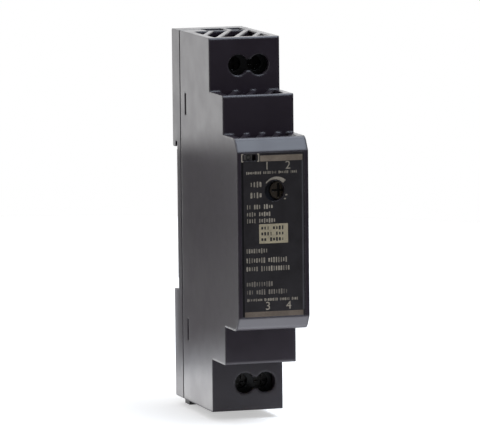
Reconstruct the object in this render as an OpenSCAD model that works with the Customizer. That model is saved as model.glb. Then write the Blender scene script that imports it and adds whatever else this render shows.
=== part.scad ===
// Power supply for a 35 mm DIN rail: a stepped case 17.5 mm wide that snaps onto the rail.
// Millimetres. +Z up, the front faces -Y, +X to the right as seen from the front.
// The origin is the middle of the seat that bears on the front of the rail's two lips.
// Distances named *_y are measured forward of that seat, so they lie at negative Y.

/* [Case] */
// Width of the case along the rail
case_w = 17.5; // [17.3:0.1:19]
// Height of the case
case_h = 90; // [89.6:0.1:92]
// Front of the two terminal blocks, forward of the rail
block_y = 28.6; // [28.2:0.1:29.4]
// Front of the two shoulders, forward of the rail
shoulder_y = 39.7; // [39.2:0.1:40.6]
// Front of the nose, forward of the rail
nose_y = 51.1; // [50.8:0.1:52.5]
// How far a shoulder stands back from the end of the case
shoulder_step = 12.85; // [12.6:0.05:13.1]
// Height of the nose that stands through the panel's cut-out
nose_h = 45.8; // [45.4:0.1:46.4]
// Depth of the slope on the nose's upper and lower edge
slope_y = 2.2; // [1.6:0.1:2.6]
// Height of the slope on the nose's upper and lower edge
slope_z = 3.2; // [2.6:0.1:3.5]
// Radius where the nose's upper face turns into its slope
brow_r = 2.4; // [1.2:0.2:2.6]
// Radius of the outer corners of the case
corner_r = 0.5; // [0.2:0.1:0.8]
// Thickness of the case's walls
wall = 1.5; // [1.3:0.05:1.55]
// Seam between the front housing and the rear cover, forward of the rail
seam_y = 3.8; // [3.7:0.05:3.9]
// Depth of the rear cover behind the rail's front
back_y = 3.4; // [3.3:0.05:3.8]

/* [Rail] */
// Height of the rail over its lips
rail_h = 35; // [34.7:0.1:35.3]
// Thickness of the rail's lips
rail_t = 1; // [0.8:0.05:1.1]
// Half height of the flat seat on the rail's front
seat_half = 15.8; // [14:0.1:16]
// How far the fixed hook and the latch reach behind the lips
hook_grip = 1.2; // [0.9:0.1:1.4]

/* [Latch] */
// How far the latch slides down to let go of the rail
latch_travel = 3; // [2:0.1:3.4]
// Width of the latch between the cover's lips
latch_w = 10.6; // [10:0.1:11]
// Width of the flanges that run under the cover's lips
flange_w = 13.6; // [13.4:0.1:13.6]
// How far the latch's foot stands out below the case
foot_drop = 2.1; // [1.6:0.1:3]
// Diameter of the latch spring
spring_d = 2.8; // [2.4:0.1:2.8]
// Diameter of the spring's wire
spring_wire = 0.4; // [0.3:0.05:0.5]

/* [Vents] */
// Distance between the slanted ribs on the end faces and shoulders
vent_pitch = 4.45; // [4.1:0.05:4.8]
// Distance between the slanted ribs on the nose
nose_vent_pitch = 3.9; // [3.6:0.05:4.3]
// Width of a rib between two vent slots
rib_w = 1.3; // [1:0.05:1.6]
// Sideways run of a rib for each millimetre of depth
rib_slope = 0.44; // [0.35:0.01:0.5]

/* [Terminals] */
// Distance between the two poles of a terminal
pole_pitch = 5.15; // [5.05:0.05:5.2]
// Middle of the output terminal, to the right of the case's middle
output_x = 1.07; // [0.9:0.01:1.3]
// Middle of the input terminal, to the right of the case's middle
input_x = 1.92; // [1.7:0.01:1.95]
// How far the terminals' screws lie in from the end of the case
screw_in = 6.7; // [6.6:0.05:6.9]
// Diameter of the screw openings in the case
screw_hole_d = 5; // [4.6:0.1:5.2]
// Height of the neck that joins a pair of screw openings
neck_h = 2.75; // [2:0.05:3.4]
// Diameter of the clamp screws
screw_d = 2.5; // [2:0.1:2.5]
// Diameter of the clamp screws' heads
head_d = 3.9; // [3.7:0.1:4]
// Travel of the clamp cages, with the screw from open to tight
cage_travel = 2; // [1.6:0.1:2]

/* [Adjuster, lamp and label] */
// Adjuster's axis, to the right of the case's middle
dial_x = 0.44; // [0:0.02:0.8]
// Adjuster's axis, below the top of the nose
dial_drop = 12.55; // [12.3:0.05:12.9]
// Diameter of the hole over the adjuster
dial_hole_d = 4.95; // [4.6:0.05:5.1]
// Diameter of the adjuster's rotor
rotor_d = 4.2; // [3.6:0.1:4.4]
// Width of the lamp's window
lamp_w = 3; // [2.6:0.1:3.2]
// Height of the lamp's window
lamp_h = 1.5; // [1.2:0.1:1.8]
// Lamp's middle, below the top of the nose
lamp_drop = 4.5; // [4.5:0.1:4.8]
// Width of the front label
label_w = 15.5; // [14.6:0.1:15.8]
// Thickness of the front label
label_t = 0.2; // [0.15:0.05:0.3]

/* [Circuit board] */
// Thickness of the circuit board
board_t = 1.6; // [1.5:0.05:1.6]
// Gap between the board's solder side and the case
solder_gap = 0.95; // [0.9:0.05:1]
// Diameter of the two input capacitors
bulk_d = 10; // [9.6:0.1:10]
// Length of the two input capacitors
bulk_l = 16; // [14:0.5:16]
// Diameter of the two output capacitors
output_cap_d = 8; // [7:0.1:8]

/* [Hidden] */
$fn = 48;
fit_gap = 0.1;       // between fixed pieces that slip together
run_gap = 0.3;       // between pieces that slide past each other
thread_gap = 0.05;   // radial play of a screw in its cage
cut = 1;             // how far a cutting body overshoots
arc_steps = 6;       // straight pieces in each rounded corner of an outline

// Levels of the case, worked out from the driving sizes
side_x = case_w/2;
inner_x = side_x - wall;
top_z = case_h/2;
shoulder_z = top_z - shoulder_step;
nose_z = nose_h/2;
screw_z = top_z - screw_in;
dial_z = nose_z - dial_drop;
lamp_z = nose_z - lamp_drop;
shoulder_inner_y = shoulder_y - wall;
block_inner_y = block_y - wall;
nose_inner_y = nose_y - wall;

// Rail seat, fixed hook and latch
rail_gap = 0.2;
recess_top_z = rail_h/2 + rail_gap;
recess_bottom_z = -rail_h/2 - 1.1;
hook_y = rail_t + rail_gap;
relief = 0.3;
floor_y = wall;                          // front of the floor behind the rail
channel_y = 1;                           // front of the latch's channel
channel_floor_y = channel_y + wall - 0.1;
latch_front_y = channel_y - run_gap;
flange_t = 1.6;
latch_back = back_y - 0.2;
latch_top_z = -rail_h/2 - 0.4;
latch_tip_z = -rail_h/2 + hook_grip + 0.1;
lip_y = flange_t - latch_front_y + run_gap;
foot_top_z = -top_z - run_gap;
foot_w = 13;
window_bottom_z = -top_z + 6;
window_w = spring_d + 1;
peg_top_z = window_bottom_z + 1.5;
squeezed_l = 10.5;                       // length of the spring with the latch pulled down
window_top_z = peg_top_z + squeezed_l + latch_travel;
spring_y = latch_back - 0.8 - 0.15 - spring_d/2;
spring_turns = 9;
tool_slot = [5, 1.8, 5.1];

// Shadow line at the seam: its width on the side of the case, and its depth
seam_line_w = 0.7;
seam_line_t = 0.4;

// Snap tongues of the cover and the windows they click into
snap_z = top_z - 17.55;
snap_h = 4.9;
snap_y = 8;
snap_t = 0.7;
window_h = 5.3;
window_y = 1.3;

// Circuit board
board_x0 = -inner_x + solder_gap;
board_x1 = board_x0 + board_t;
board_gap = 0.4;
board_back_y = seam_y + board_gap;
part_top_x = inner_x - 0.4;              // highest that a part on the board may stand
guide_t = 0.9;
rim_x0 = board_x1 + guide_t + run_gap;    // the cover's rim starts clear of the board and its guides
rim_t = 1.1;
rim_l = 1.6;
lead_r = 0.35;
lead_hole_r = 0.42;
lead_out = 0.6;                          // how far a lead stands out on the solder side
part_stand = 0.3;                        // how far a part's body stands off the board and the case

// Terminals
screw_depth = 2.6;                       // how far behind the case's front wall a terminal stands
term_front_y = block_inner_y - screw_depth;
term_x1 = inner_x - fit_gap;
term_face_t = 0.5;
head_y = term_front_y - term_face_t - fit_gap;
head_t = 1.3;
head_back_y = head_y - head_t;
cage_wall = 0.55;
cage_half_x = 2;
cage_half_z = 2;
cage_front_y = head_back_y - fit_gap - cage_travel;
bar_y = cage_front_y - cage_wall - fit_gap;
bar_t = 0.7;
bar_over = 1.2;                          // how far a bar reaches past its cage
bar_half_x = cage_half_x - cage_wall - 0.25;
wire_gap = cage_travel + 0.2;
cage_back_y = bar_y - bar_t - wire_gap - cage_wall;
cavity_back_y = cage_back_y - run_gap;
term_back_y = cavity_back_y - 0.8;
term_top_z = top_z - wall - fit_gap;
term_bottom_z = screw_z - 5.7;
driver_hole_d = head_d - 0.4;

// Label and lamp
label_z = nose_z - slope_z - 0.3;
label_recess = label_t + 0.05;
lamp_x = (board_x0 + board_x1)/2;
lamp_depth = 2.7;
rotor_face_y = nose_inner_y - 0.3;
rotor_t = 0.9;
rotor_x = dial_x + 1.45;                 // the adjuster stands a little to the right of its hole
pot_front_y = rotor_face_y - 0.4;
pot_depth = 4.6;
pot_half = 3.2;

// Box between two values on each axis
module block(x, y, z) {
    translate([x[0], y[0], z[0]])
        cube([x[1] - x[0], y[1] - y[0], z[1] - z[0]]);
}

// Side view, drawn as (Y, Z), extruded from one X to another
module side_plate(x0, x1) {
    translate([x0, 0, 0])
        rotate([90, 0, 90])
            linear_extrude(x1 - x0)
                children();
}

module rod_x(r, x0, x1) {
    translate([x0, 0, 0])
        rotate([0, 90, 0])
            cylinder(r = r, h = x1 - x0);
}

module rod_y(r, y0, y1) {
    translate([0, y1, 0])
        rotate([90, 0, 0])
            cylinder(r = r, h = y1 - y0);
}

// Both halves of something that is alike above and below the rail's centre line
module above_and_below() {
    children();
    mirror([0, 0, 1])
        children();
}

module left_and_right() {
    children();
    mirror([1, 0, 0])
        children();
}

// Points of a corner at p between a and b, rounded by radius r
function unit(v) = v/norm(v);
function corner(a, p, b, r) =
    r <= 0 ? [p] :
    let (u = unit(a - p), v = unit(b - p), half = acos(u*v)/2)
    let (centre = p + unit(u + v)*r/sin(half))
    let (from = p + u*r/tan(half) - centre, to = p + v*r/tan(half) - centre)
    let (sweep = 180 - 2*half, way = sign(from[0]*to[1] - from[1]*to[0]))
    [for (i = [0:arc_steps])
        let (t = way*sweep*i/arc_steps)
        centre + [from[0]*cos(t) - from[1]*sin(t), from[0]*sin(t) + from[1]*cos(t)]];

function rounded(points, radii) =
    [for (i = [0:len(points) - 1])
        each corner(points[(i + len(points) - 1) % len(points)], points[i],
            points[(i + 1) % len(points)], radii[i])];

function flipped(points) = [for (i = [len(points) - 1:-1:0]) [points[i][0], -points[i][1]]];

// Upper half of the stepped outline, set in by a wall, from back to front
function upper_outline(back, inset) = [
    [back, top_z - inset],
    [-block_y + inset, top_z - inset],
    [-block_y + inset, shoulder_z - inset],
    [-shoulder_y + inset, shoulder_z - inset],
    [-shoulder_y + inset, nose_z - inset],
    [-nose_y + slope_y + inset, nose_z - inset],
    [-nose_y + inset, nose_z - slope_z - inset]];

function outline_radii(r, brow) = [0, r, 0, r, 0, brow, r];

module case_outline(back, inset, r, brow) {
    upper = upper_outline(back, inset);
    radii = outline_radii(r, brow);
    reversed = [for (i = [len(radii) - 1:-1:0]) radii[i]];
    polygon(rounded(concat(upper, flipped(upper)), concat(radii, reversed)));
}

// Slanted slots: a field with ribs left standing. rib_x is one rib's place at depth rib_y.
module slanted_slots(half_x, y, z, rib_x, rib_y, pitch) {
    difference() {
        block([-half_x, half_x], y, z);
        for (n = [-3:3]) {
            x = rib_x + n*pitch;
            reach = max(abs(y[0] - rib_y), abs(y[1] - rib_y)) + cut;
            translate([x, rib_y, z[0] - cut])
                linear_extrude(z[1] - z[0] + 2*cut)
                    polygon([[-rib_w/2 - rib_slope*reach, -reach], [rib_w/2 - rib_slope*reach, -reach],
                        [rib_w/2 + rib_slope*reach, reach], [-rib_w/2 + rib_slope*reach, reach]]);
        }
    }
}

// The three fields of vent slots over one end of the case. shift moves them to suit its terminal.
module vent_slots(shift) {
    half_x = inner_x - 0.3;
    slanted_slots(half_x, [-block_inner_y + 0.2, -seam_y - 4.8], [top_z - wall - cut, top_z + cut],
        2.3 + shift, -block_y + 10, vent_pitch);
    slanted_slots(half_x, [-shoulder_y + wall, -block_y], [shoulder_z - wall - cut, shoulder_z + cut/2],
        -0.1 + shift, -shoulder_y + 5.6, vent_pitch);
    slanted_slots(half_x, [-nose_y + slope_y + wall, -shoulder_y], [nose_z - wall - cut, nose_z + cut/2],
        -0.2 + shift, -nose_y + 8.5, nose_vent_pitch);
}

// Two shallow bays in the end face behind the vent slots, across the seam
module end_bays() {
    for (x = [[-3, 2.2], [3.4, 6.8]])
        block(x, [-seam_y - 4, -seam_y + 2.2], [top_z - 0.5, top_z + cut]);
}

// Two round openings joined by a neck, over the screws of a terminal
module screw_openings(middle_x) {
    for (side = [-1, 1])
        translate([middle_x + side*pole_pitch/2, 0, screw_z])
            rod_y(screw_hole_d/2, -block_y - cut, -block_inner_y + cut);
    block([middle_x - pole_pitch/2, middle_x + pole_pitch/2], [-block_y - cut, -block_inner_y + cut],
        [screw_z - neck_h/2, screw_z + neck_h/2]);
}

// Rails inside the case that the board's edges slide between
module board_guides() {
    for (x = [[-inner_x - fit_gap, board_x0 - fit_gap/2], [board_x1 + fit_gap/2, board_x1 + guide_t]]) {
        above_and_below()
            block(x, [-seam_y - 4.7, -seam_y - rim_l - run_gap],
                [top_z - wall - 1.4, top_z - wall + fit_gap]);
        for (z = [[-15, -12], [1.5, 4.5]])
            block(x, [-nose_inner_y - fit_gap, -nose_inner_y + 2], z);
    }
}

module front_housing() {
    color("#54555c")
        difference() {
            union() {
                difference() {
                    side_plate(-side_x, side_x)
                        case_outline(-seam_y, 0, corner_r, brow_r);
                    side_plate(-inner_x, inner_x)
                        case_outline(-seam_y + cut, wall, 0, brow_r/2);
                }
                board_guides();
            }
            vent_slots(0);
            mirror([0, 0, 1])
                vent_slots(0.35);
            above_and_below()
                end_bays();
            screw_openings(output_x);
            mirror([0, 0, 1])
                screw_openings(input_x);
            block([-label_w/2, label_w/2], [-nose_y - cut, -nose_y + label_recess], [-label_z, label_z]);
            translate([dial_x, 0, dial_z])
                rod_y(dial_hole_d/2, -nose_y - cut, -nose_inner_y + cut);
            block([lamp_x - lamp_w/2, lamp_x + lamp_w/2], [-nose_y - cut, -nose_inner_y + cut],
                [lamp_z - lamp_h/2, lamp_z + lamp_h/2]);
            left_and_right()
                above_and_below()
                    block([inner_x - cut/2, side_x + cut], [-snap_y - window_y/2, -snap_y + window_y/2],
                        [snap_z - window_h/2, snap_z + window_h/2]);
        }
}

// Side view of the cover: a shallow tray whose back is cut away for the rail, under the fixed hook
module cover_outline() {
    polygon(rounded([[-seam_y, -top_z], [back_y, -top_z], [back_y, recess_bottom_z],
        [-relief, recess_bottom_z], [-relief, -seat_half], [0, -seat_half], [0, seat_half],
        [-relief, seat_half], [-relief, recess_top_z], [hook_y, recess_top_z],
        [hook_y, rail_h/2 - hook_grip], [back_y, rail_h/2 - hook_grip], [back_y, top_z], [-seam_y, top_z]],
        [0, corner_r, corner_r, 0, 0, 0, 0, 0, 0, 0, corner_r, corner_r, corner_r, 0]));
}

// Spring tongue with a barb that clicks into the housing's window
module snap_tongue() {
    x0 = inner_x - fit_gap - snap_t;
    x1 = inner_x - fit_gap;
    z0 = snap_z - snap_h/2;
    block([x0, inner_x + fit_gap], [-seam_y, -floor_y + fit_gap], [z0, z0 + snap_h]);
    translate([0, 0, z0])
        linear_extrude(snap_h)
            polygon([[x0, -seam_y + fit_gap], [x1, -seam_y + fit_gap], [x1, -snap_y + 0.5],
                [side_x - 0.5, -snap_y + 0.5], [side_x - 0.5, -snap_y + 0.1], [x1, -snap_y - 0.55],
                [x1 - 0.2, -snap_y - 1.6], [x0, -snap_y - 1.6]]);
}

// Shadow line round the case, cut in the edge of the cover where it meets the housing
module seam_line() {
    difference() {
        block([-side_x - cut, side_x + cut], [-seam_y - cut, -seam_y + seam_line_w],
            [-top_z - cut, top_z + cut]);
        block([-side_x + seam_line_t, side_x - seam_line_t],
            [-seam_y - 2*cut, -seam_y + seam_line_w + cut],
            [-top_z + seam_line_t, top_z - seam_line_t]);
    }
}

module rear_cover() {
    color("#55565d")
        difference() {
            union() {
                difference() {
                    side_plate(-side_x, side_x)
                        cover_outline();
                    block([-inner_x, inner_x], [-seam_y - cut, back_y - wall],
                        [recess_top_z + wall, top_z - wall]);
                    block([-inner_x, inner_x], [-seam_y - cut, -floor_y - relief],
                        [recess_bottom_z + wall, recess_top_z + 2*wall]);
                    block([-inner_x, inner_x], [-seam_y - cut, -channel_floor_y],
                        [-top_z + wall, recess_bottom_z + 2*wall]);
                }
                left_and_right()
                    above_and_below()
                        snap_tongue();
                above_and_below() {
                    block([rim_x0, inner_x - fit_gap], [-seam_y - rim_l, -seam_y + fit_gap],
                        [top_z - wall - rim_t, top_z - wall - fit_gap]);
                    block([rim_x0, inner_x + fit_gap], [-seam_y, -seam_y + wall],
                        [top_z - wall - rim_t, top_z - wall + fit_gap]);
                }
                for (z = [-top_z + 13, -12, 12])
                    block([board_x0 - 0.4, board_x1 + 0.4], [-board_back_y, -floor_y], [z - 0.6, z + 0.6]);
            }
            block([-flange_w/2 - run_gap, flange_w/2 + run_gap], [-channel_y, lip_y],
                [-top_z - cut, recess_bottom_z + cut]);
            block([-latch_w/2 - run_gap, latch_w/2 + run_gap], [-channel_y, back_y + cut],
                [-top_z - cut, recess_bottom_z + cut]);
            above_and_below()
                end_bays();
            seam_line();
        }
    color("#55565d")
        block([-spring_d/2, spring_d/2], [-channel_y - fit_gap, spring_y + spring_d/2 - 0.15],
            [window_bottom_z + run_gap, peg_top_z]);
}

// Printed film in the nose's shallow recess, open over the lamp and the adjuster
module front_label() {
    color("#26252a")
        difference() {
            block([-label_w/2 + fit_gap/2, label_w/2 - fit_gap/2],
                [-nose_y + label_recess - label_t, -nose_y + label_recess],
                [-label_z + fit_gap/2, label_z - fit_gap/2]);
            translate([dial_x, 0, dial_z])
                rod_y(dial_hole_d/2, -nose_y - cut, -nose_y + cut);
            block([lamp_x - lamp_w/2, lamp_x + lamp_w/2], [-nose_y - cut, -nose_y + cut],
                [lamp_z - lamp_h/2, lamp_z + lamp_h/2]);
        }
}

// Sliding latch: a T-shaped slide whose nose grips the rail's lower lip, with a foot to pull it down
module din_latch() {
    color("#3c3d43")
        difference() {
            union() {
                block([-flange_w/2, flange_w/2], [-latch_front_y, flange_t - latch_front_y],
                    [-top_z + 0.2, latch_top_z - 1.4]);
                side_plate(-latch_w/2, latch_w/2)
                    polygon([[-latch_front_y, foot_top_z - cut/2], [latch_back, foot_top_z - cut/2],
                        [latch_back, latch_tip_z - 0.9], [hook_y + 0.6, latch_tip_z],
                        [hook_y + 0.05, latch_tip_z], [hook_y + 0.05, latch_top_z],
                        [-latch_front_y, latch_top_z]]);
                block([-foot_w/2, foot_w/2], [-latch_front_y, latch_back], [-top_z - foot_drop, foot_top_z]);
            }
            block([-window_w/2, window_w/2], [-latch_front_y - cut, latch_back - 0.8],
                [window_bottom_z, window_top_z]);
            block([-0.9, 0.9], [-latch_front_y - cut, latch_back + cut],
                [window_bottom_z + cut, window_top_z - cut]);
            block([-tool_slot[0]/2, tool_slot[0]/2], [0.2, 0.2 + tool_slot[1]],
                [-top_z - foot_drop - cut, -top_z - foot_drop + tool_slot[2]]);
        }
}

// Coil spring between the cover's peg and the top of the latch's window, as one swept tube
module latch_spring() {
    sides = 6;
    steps = spring_turns*14;
    coil_r = spring_d/2 - spring_wire/2;
    z0 = peg_top_z + spring_wire/2;
    rise = window_top_z - peg_top_z - spring_wire;
    rings = [for (i = [0:steps], k = [0:sides - 1])
        let (turn = 360*spring_turns*i/steps, around = 360*k/sides)
        let (r = coil_r + cos(around)*spring_wire/2)
        [r*cos(turn), r*sin(turn), z0 + rise*i/steps + sin(around)*spring_wire/2]];
    skin = [for (i = [0:steps - 1], k = [0:sides - 1])
        let (a = i*sides + k, b = i*sides + (k + 1) % sides)
        each [[a, a + sides, b], [b, a + sides, b + sides]]];
    ends = [[for (k = [0:sides - 1]) k], [for (k = [sides - 1:-1:0]) steps*sides + k]];
    color("silver")
        translate([0, spring_y, 0])
            polyhedron(rings, concat(skin, ends));
}

// Holes for a part's leads, or the leads themselves. places are (Y, Z) on the board.
module leads(places, r) {
    for (p = places)
        translate([0, p[0], p[1]])
            rod_x(r, board_x0 - lead_out, board_x1 + fit_gap);
}

// Leads that reach up into a part standing clear of the board
module long_leads(places, reach) {
    for (p = places)
        translate([0, p[0], p[1]])
            rod_x(lead_r, board_x0 - lead_out, board_x1 + reach);
}

// Strip that carries the current of one pole: a bar through the cage and a tail to the board
module contact_strip(x, tail_z) {
    color("#c9a24b") {
        block([x - bar_half_x, x + bar_half_x], [-bar_y, -bar_y + bar_t],
            [tail_z, screw_z + cage_half_z + bar_over]);
        block([board_x0 - lead_out, x], [-bar_y, -bar_y + bar_t], [tail_z, tail_z + bar_t]);
    }
}

function tail_z(pole) = term_bottom_z - 0.9 - 1.2*pole;

// Lift-clamp terminal for two poles, drawn for the upper end of the case
module terminal_body(middle_x) {
    color("#2f3a36")
        difference() {
            block([board_x1, term_x1], [-term_front_y, -term_back_y], [term_bottom_z, term_top_z]);
            for (side = [-1, 1]) {
                x = middle_x + side*pole_pitch/2;
                half_x = cage_half_x + 0.2;
                translate([x, 0, screw_z])
                    rod_y(driver_hole_d/2, -term_front_y - cut, -term_front_y + term_face_t + cut);
                block([x - half_x, x + half_x], [-term_front_y + term_face_t, -cavity_back_y],
                    [screw_z - cage_half_z - run_gap, screw_z + cage_half_z + run_gap]);
                block([x - 1.2, x + 1.2], [-bar_y + bar_t, -bar_y + bar_t + wire_gap],
                    [screw_z, term_top_z + cut]);
                block([x - 1.6, x + 1.6], [-bar_y + bar_t - 0.3, -bar_y + bar_t + wire_gap + 0.4],
                    [term_top_z - 1, term_top_z + cut]);
                block([x - bar_half_x - fit_gap/2, x + bar_half_x + fit_gap/2],
                    [-bar_y - fit_gap/2, -bar_y + bar_t + fit_gap/2],
                    [term_bottom_z - cut, screw_z + cage_half_z + bar_over + fit_gap]);
            }
        }
}

// Clamp cage: a square ring that the screw pulls forward, so that the wire is held against the bar
module clamp_cage(x) {
    color("#b9bcc0")
        difference() {
            block([x - cage_half_x, x + cage_half_x], [-cage_front_y, -cage_back_y],
                [screw_z - cage_half_z, screw_z + cage_half_z]);
            block([x - cage_half_x + cage_wall, x + cage_half_x - cage_wall],
                [-cage_front_y + cage_wall, -cage_back_y - cage_wall],
                [screw_z - cage_half_z - cut, screw_z + cage_half_z + cut]);
            translate([x, 0, screw_z])
                rod_y(screw_d/2 + thread_gap, -cage_front_y - cut, -cage_front_y + cage_wall + cut/2);
        }
}

// Captive clamp screw with a slot and a cross
module clamp_screw(x) {
    slot = 0.7;
    color("#7d7f84")
        translate([x, 0, screw_z])
            difference() {
                union() {
                    rod_y(head_d/2, -head_y, -head_back_y);
                    rod_y(screw_d/2, -head_back_y, -bar_y - fit_gap);
                }
                block([-head_d, head_d], [-head_y - cut, -head_y + 0.6], [-slot/2, slot/2]);
                block([-slot/2, slot/2], [-head_y - cut, -head_y + 0.6], [-head_d*0.36, head_d*0.36]);
            }
}

// Shows a piece drawn for the upper terminal at the lower one
module at_input() {
    mirror([0, 0, 1])
        children();
}

// Side view of the circuit board, set in from the case's inner walls
module board_outline() {
    upper = upper_outline(-board_back_y, wall + board_gap);
    polygon(concat(upper, flipped(upper)));
}

// Sizes and places of the parts on the board. A *_y is measured forward of the rail's front.
pot_lead_in = 1.2;
pot_lead_row = 2.2;
pot_lead_pitch = 2;

fuse_r = 3.9;
fuse_l = 7.6;
fuse_pitch = 5;
fuse_y = board_back_y + 3.8;
fuse_z = -top_z + 6.8;

ntc_r = 4;
ntc_t = 3.4;
ntc_pitch = 5;
ntc_z = fuse_z + fuse_r + 1.1;

x_cap_l = 12.8;
x_cap_t = 5.4;
x_cap_y = shoulder_inner_y - 1.3;
x_cap_z = -shoulder_z + wall + 0.75;
x_cap_foot = 1.2;

choke_l = 9.4;
choke_t = 3.4;
choke_leg = 2.2;
choke_wire_t = 1.2;
choke_stand = 0.8;
choke_y = x_cap_y - x_cap_l - 1.5;
choke_z = x_cap_z + 2.7;

bulk_gap = 1;
bulk_lead_pitch = 5;
bulk_1_y = nose_inner_y - bulk_gap - bulk_d/2;
bulk_2_y = bulk_1_y - bulk_d - bulk_gap;
bulk_z = -nose_z + 4;
bulk_lead_z = bulk_z + bulk_l + 1;

ic_l = 5.2;
ic_w = 10.1;
ic_h = 3.1;
ic_pitch = 2.5;
ic_y = bulk_2_y - bulk_d/2 - 4;
ic_z = bulk_z + 1.1;

bridge_l = 3;
bridge_w = 6;
bridge_h = 2.6;
bridge_lead_pitch = 4;
bridge_y = ic_y - 8.4;
bridge_z = choke_z + choke_t + choke_wire_t + 0.8;

core_l = 15.4;
core_t = 7.2;
core_leg = 3;
core_back = 2.1;
core_y = bulk_2_y - 1.1;
core_z = bulk_lead_z + 7.9;
leg_half = [1.9, core_t/2];
tube_t = 0.5;
flange_half = [4.6, 7.2];
winding_half = [4.3, 6.4];
bobbin_foot = 1.9;
bobbin_l = 13.4;
bobbin_half_w = 7.5;
bobbin_pitch = 5;

y_cap_r = 3.4;
y_cap_t = 3;
y_cap_y = core_y - core_l/2 - 5.3;
y_cap_z = core_z - 3.3;

regulator_r = 2.3;
regulator_h = 4.6;
regulator_pitch = 1.3;
regulator_y = board_back_y + 1.9;
regulator_z = core_z + 6;

sink_t = 1.2;
sink_l = 11;
fin_t = 0.8;
fin_h = 1.8;
sink_y = shoulder_inner_y - 1;
sink_z = shoulder_z - wall - 3.95;
diode_l = 8.6;
diode_t = 3.2;
diode_pitch = 2.5;

inductor_r = 3.6;
inductor_h = 9.2;
inductor_y = sink_y - sink_l - 5.2;
inductor_z = sink_z - 7.4;

output_cap_pitch = 3.5;
output_cap_y = board_back_y + 9.8;
output_cap_z = [sink_z - 3.4 - output_cap_d, sink_z - 2.5];

opto_l = 4.2;
opto_w = 4.7;
opto_h = 2.8;
opto_y = board_back_y + 9.4;
opto_z = output_cap_z[0] - output_cap_d/2 - opto_w - 3.6;

// Leads of a part at (y, z), as a row of points (Y, Z) on the board with a pitch along one of them
function lead_row(y, z, count, pitch_y, pitch_z) =
    [for (i = [0:count - 1])
        [-y + (i - (count - 1)/2)*pitch_y, z + (i - (count - 1)/2)*pitch_z]];

function lead_rows(y, z, row_gap, count, pitch) =
    [for (side = [-1, 1]) each lead_row(y + side*row_gap/2, z, count, 0, pitch)];

pot_leads = [for (i = [-1:1])
    [-pot_front_y + pot_lead_in + (i == 0 ? pot_lead_row : 0), dial_z + i*pot_lead_pitch]];
fuse_leads = lead_row(fuse_y, fuse_z, 2, 0, fuse_pitch);
ntc_leads = lead_row(fuse_y, ntc_z + ntc_t/2, 2, ntc_pitch, 0);
x_cap_leads = lead_row(x_cap_y - x_cap_l/2, x_cap_z + x_cap_t/2, 2, 10, 0);
choke_leads = lead_rows(choke_y - choke_l/2, choke_z + choke_t/2, choke_l - choke_leg, 2, choke_t + 1.4);
bridge_leads = lead_rows(bridge_y - bridge_l/2, bridge_z + bridge_w/2, bridge_l + 2, 2, bridge_lead_pitch);
bulk_leads = [for (y = [bulk_1_y, bulk_2_y]) each lead_row(y, bulk_lead_z, 2, bulk_lead_pitch, 0)];
ic_leads = lead_rows(ic_y - ic_l/2, ic_z + ic_w/2, ic_l + 1.6, 4, ic_pitch);
transformer_leads = [for (side = [-1, 1])
    each lead_row(core_y, core_z + side*(bobbin_half_w - bobbin_foot/2), 3, bobbin_pitch, 0)];
y_cap_leads = lead_row(y_cap_y + y_cap_t/2, y_cap_z, 2, 0, 5);
opto_leads = lead_rows(opto_y - opto_l/2, opto_z + opto_w/2, opto_l + 2, 2, 2.5);
regulator_leads = lead_row(regulator_y, regulator_z, 3, 0, regulator_pitch);
diode_leads = lead_row(sink_y - sink_l/2, sink_z - diode_t/2, 3, diode_pitch, 0);
inductor_leads = lead_row(inductor_y, inductor_z, 2, 4, 0);
output_cap_leads = [for (z = output_cap_z) each lead_row(output_cap_y, z, 2, output_cap_pitch, 0)];

module main_pcb() {
    color("#2f5d3a")
        difference() {
            side_plate(board_x0, board_x1)
                board_outline();
            leads(concat(pot_leads, fuse_leads, ntc_leads, x_cap_leads, choke_leads), lead_hole_r);
            leads(concat(bridge_leads, transformer_leads, ic_leads, y_cap_leads, opto_leads), lead_hole_r);
            leads(concat(regulator_leads, diode_leads, inductor_leads, bulk_leads, output_cap_leads),
                lead_hole_r);
            for (end = [-1, 1], pole = [0, 1])
                translate([0, -bar_y + bar_t/2, end*(tail_z(pole) + bar_t/2)])
                    rod_x(bar_t/2*sqrt(2) + fit_gap/2, board_x0 - cut, board_x1 + cut);
            block([board_x0 - cut, board_x1 + cut], [-nose_y, -nose_inner_y + lamp_depth + fit_gap],
                [lamp_z - lamp_h/2 - fit_gap, lamp_z + lamp_h/2 + 2]);
        }
}

// Preset adjuster lying on its side, so that its axis points at the hole in the nose
module trim_pot_body() {
    color("#2b5ea8")
        difference() {
            union() {
                block([board_x1, rotor_x + pot_half], [-pot_front_y, -pot_front_y + pot_depth],
                    [dial_z - pot_half, dial_z + pot_half]);
                leads(pot_leads, lead_r);
            }
            translate([rotor_x, 0, dial_z])
                rod_y(rotor_d/2 + thread_gap, -pot_front_y - cut, -rotor_face_y + rotor_t + fit_gap);
        }
}

module trim_pot_rotor() {
    slot = [-0.3, 0.3];
    arm = [-rotor_d*0.4, rotor_d*0.4];
    depth = [-rotor_face_y - cut, -rotor_face_y + rotor_t/2];
    color("#c9c6bc")
        translate([rotor_x, 0, dial_z])
            difference() {
                rod_y(rotor_d/2, -rotor_face_y, -rotor_face_y + rotor_t);
                block(arm, depth, slot);
                block(slot, depth, arm);
            }
}

// Lamp that stands over the board's front edge, behind its window
module status_led() {
    color("#d9ddd0") {
        block([lamp_x - lamp_w/2 + fit_gap, lamp_x + lamp_w/2 - fit_gap],
            [-nose_inner_y + fit_gap, -nose_inner_y + lamp_depth],
            [lamp_z - lamp_h/2, lamp_z + lamp_h/2]);
        translate([lamp_x, -nose_inner_y + fit_gap, lamp_z])
            scale([1, 0.5, 1])
                sphere(r = lamp_h*0.4, $fn = 24);
    }
}

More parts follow.
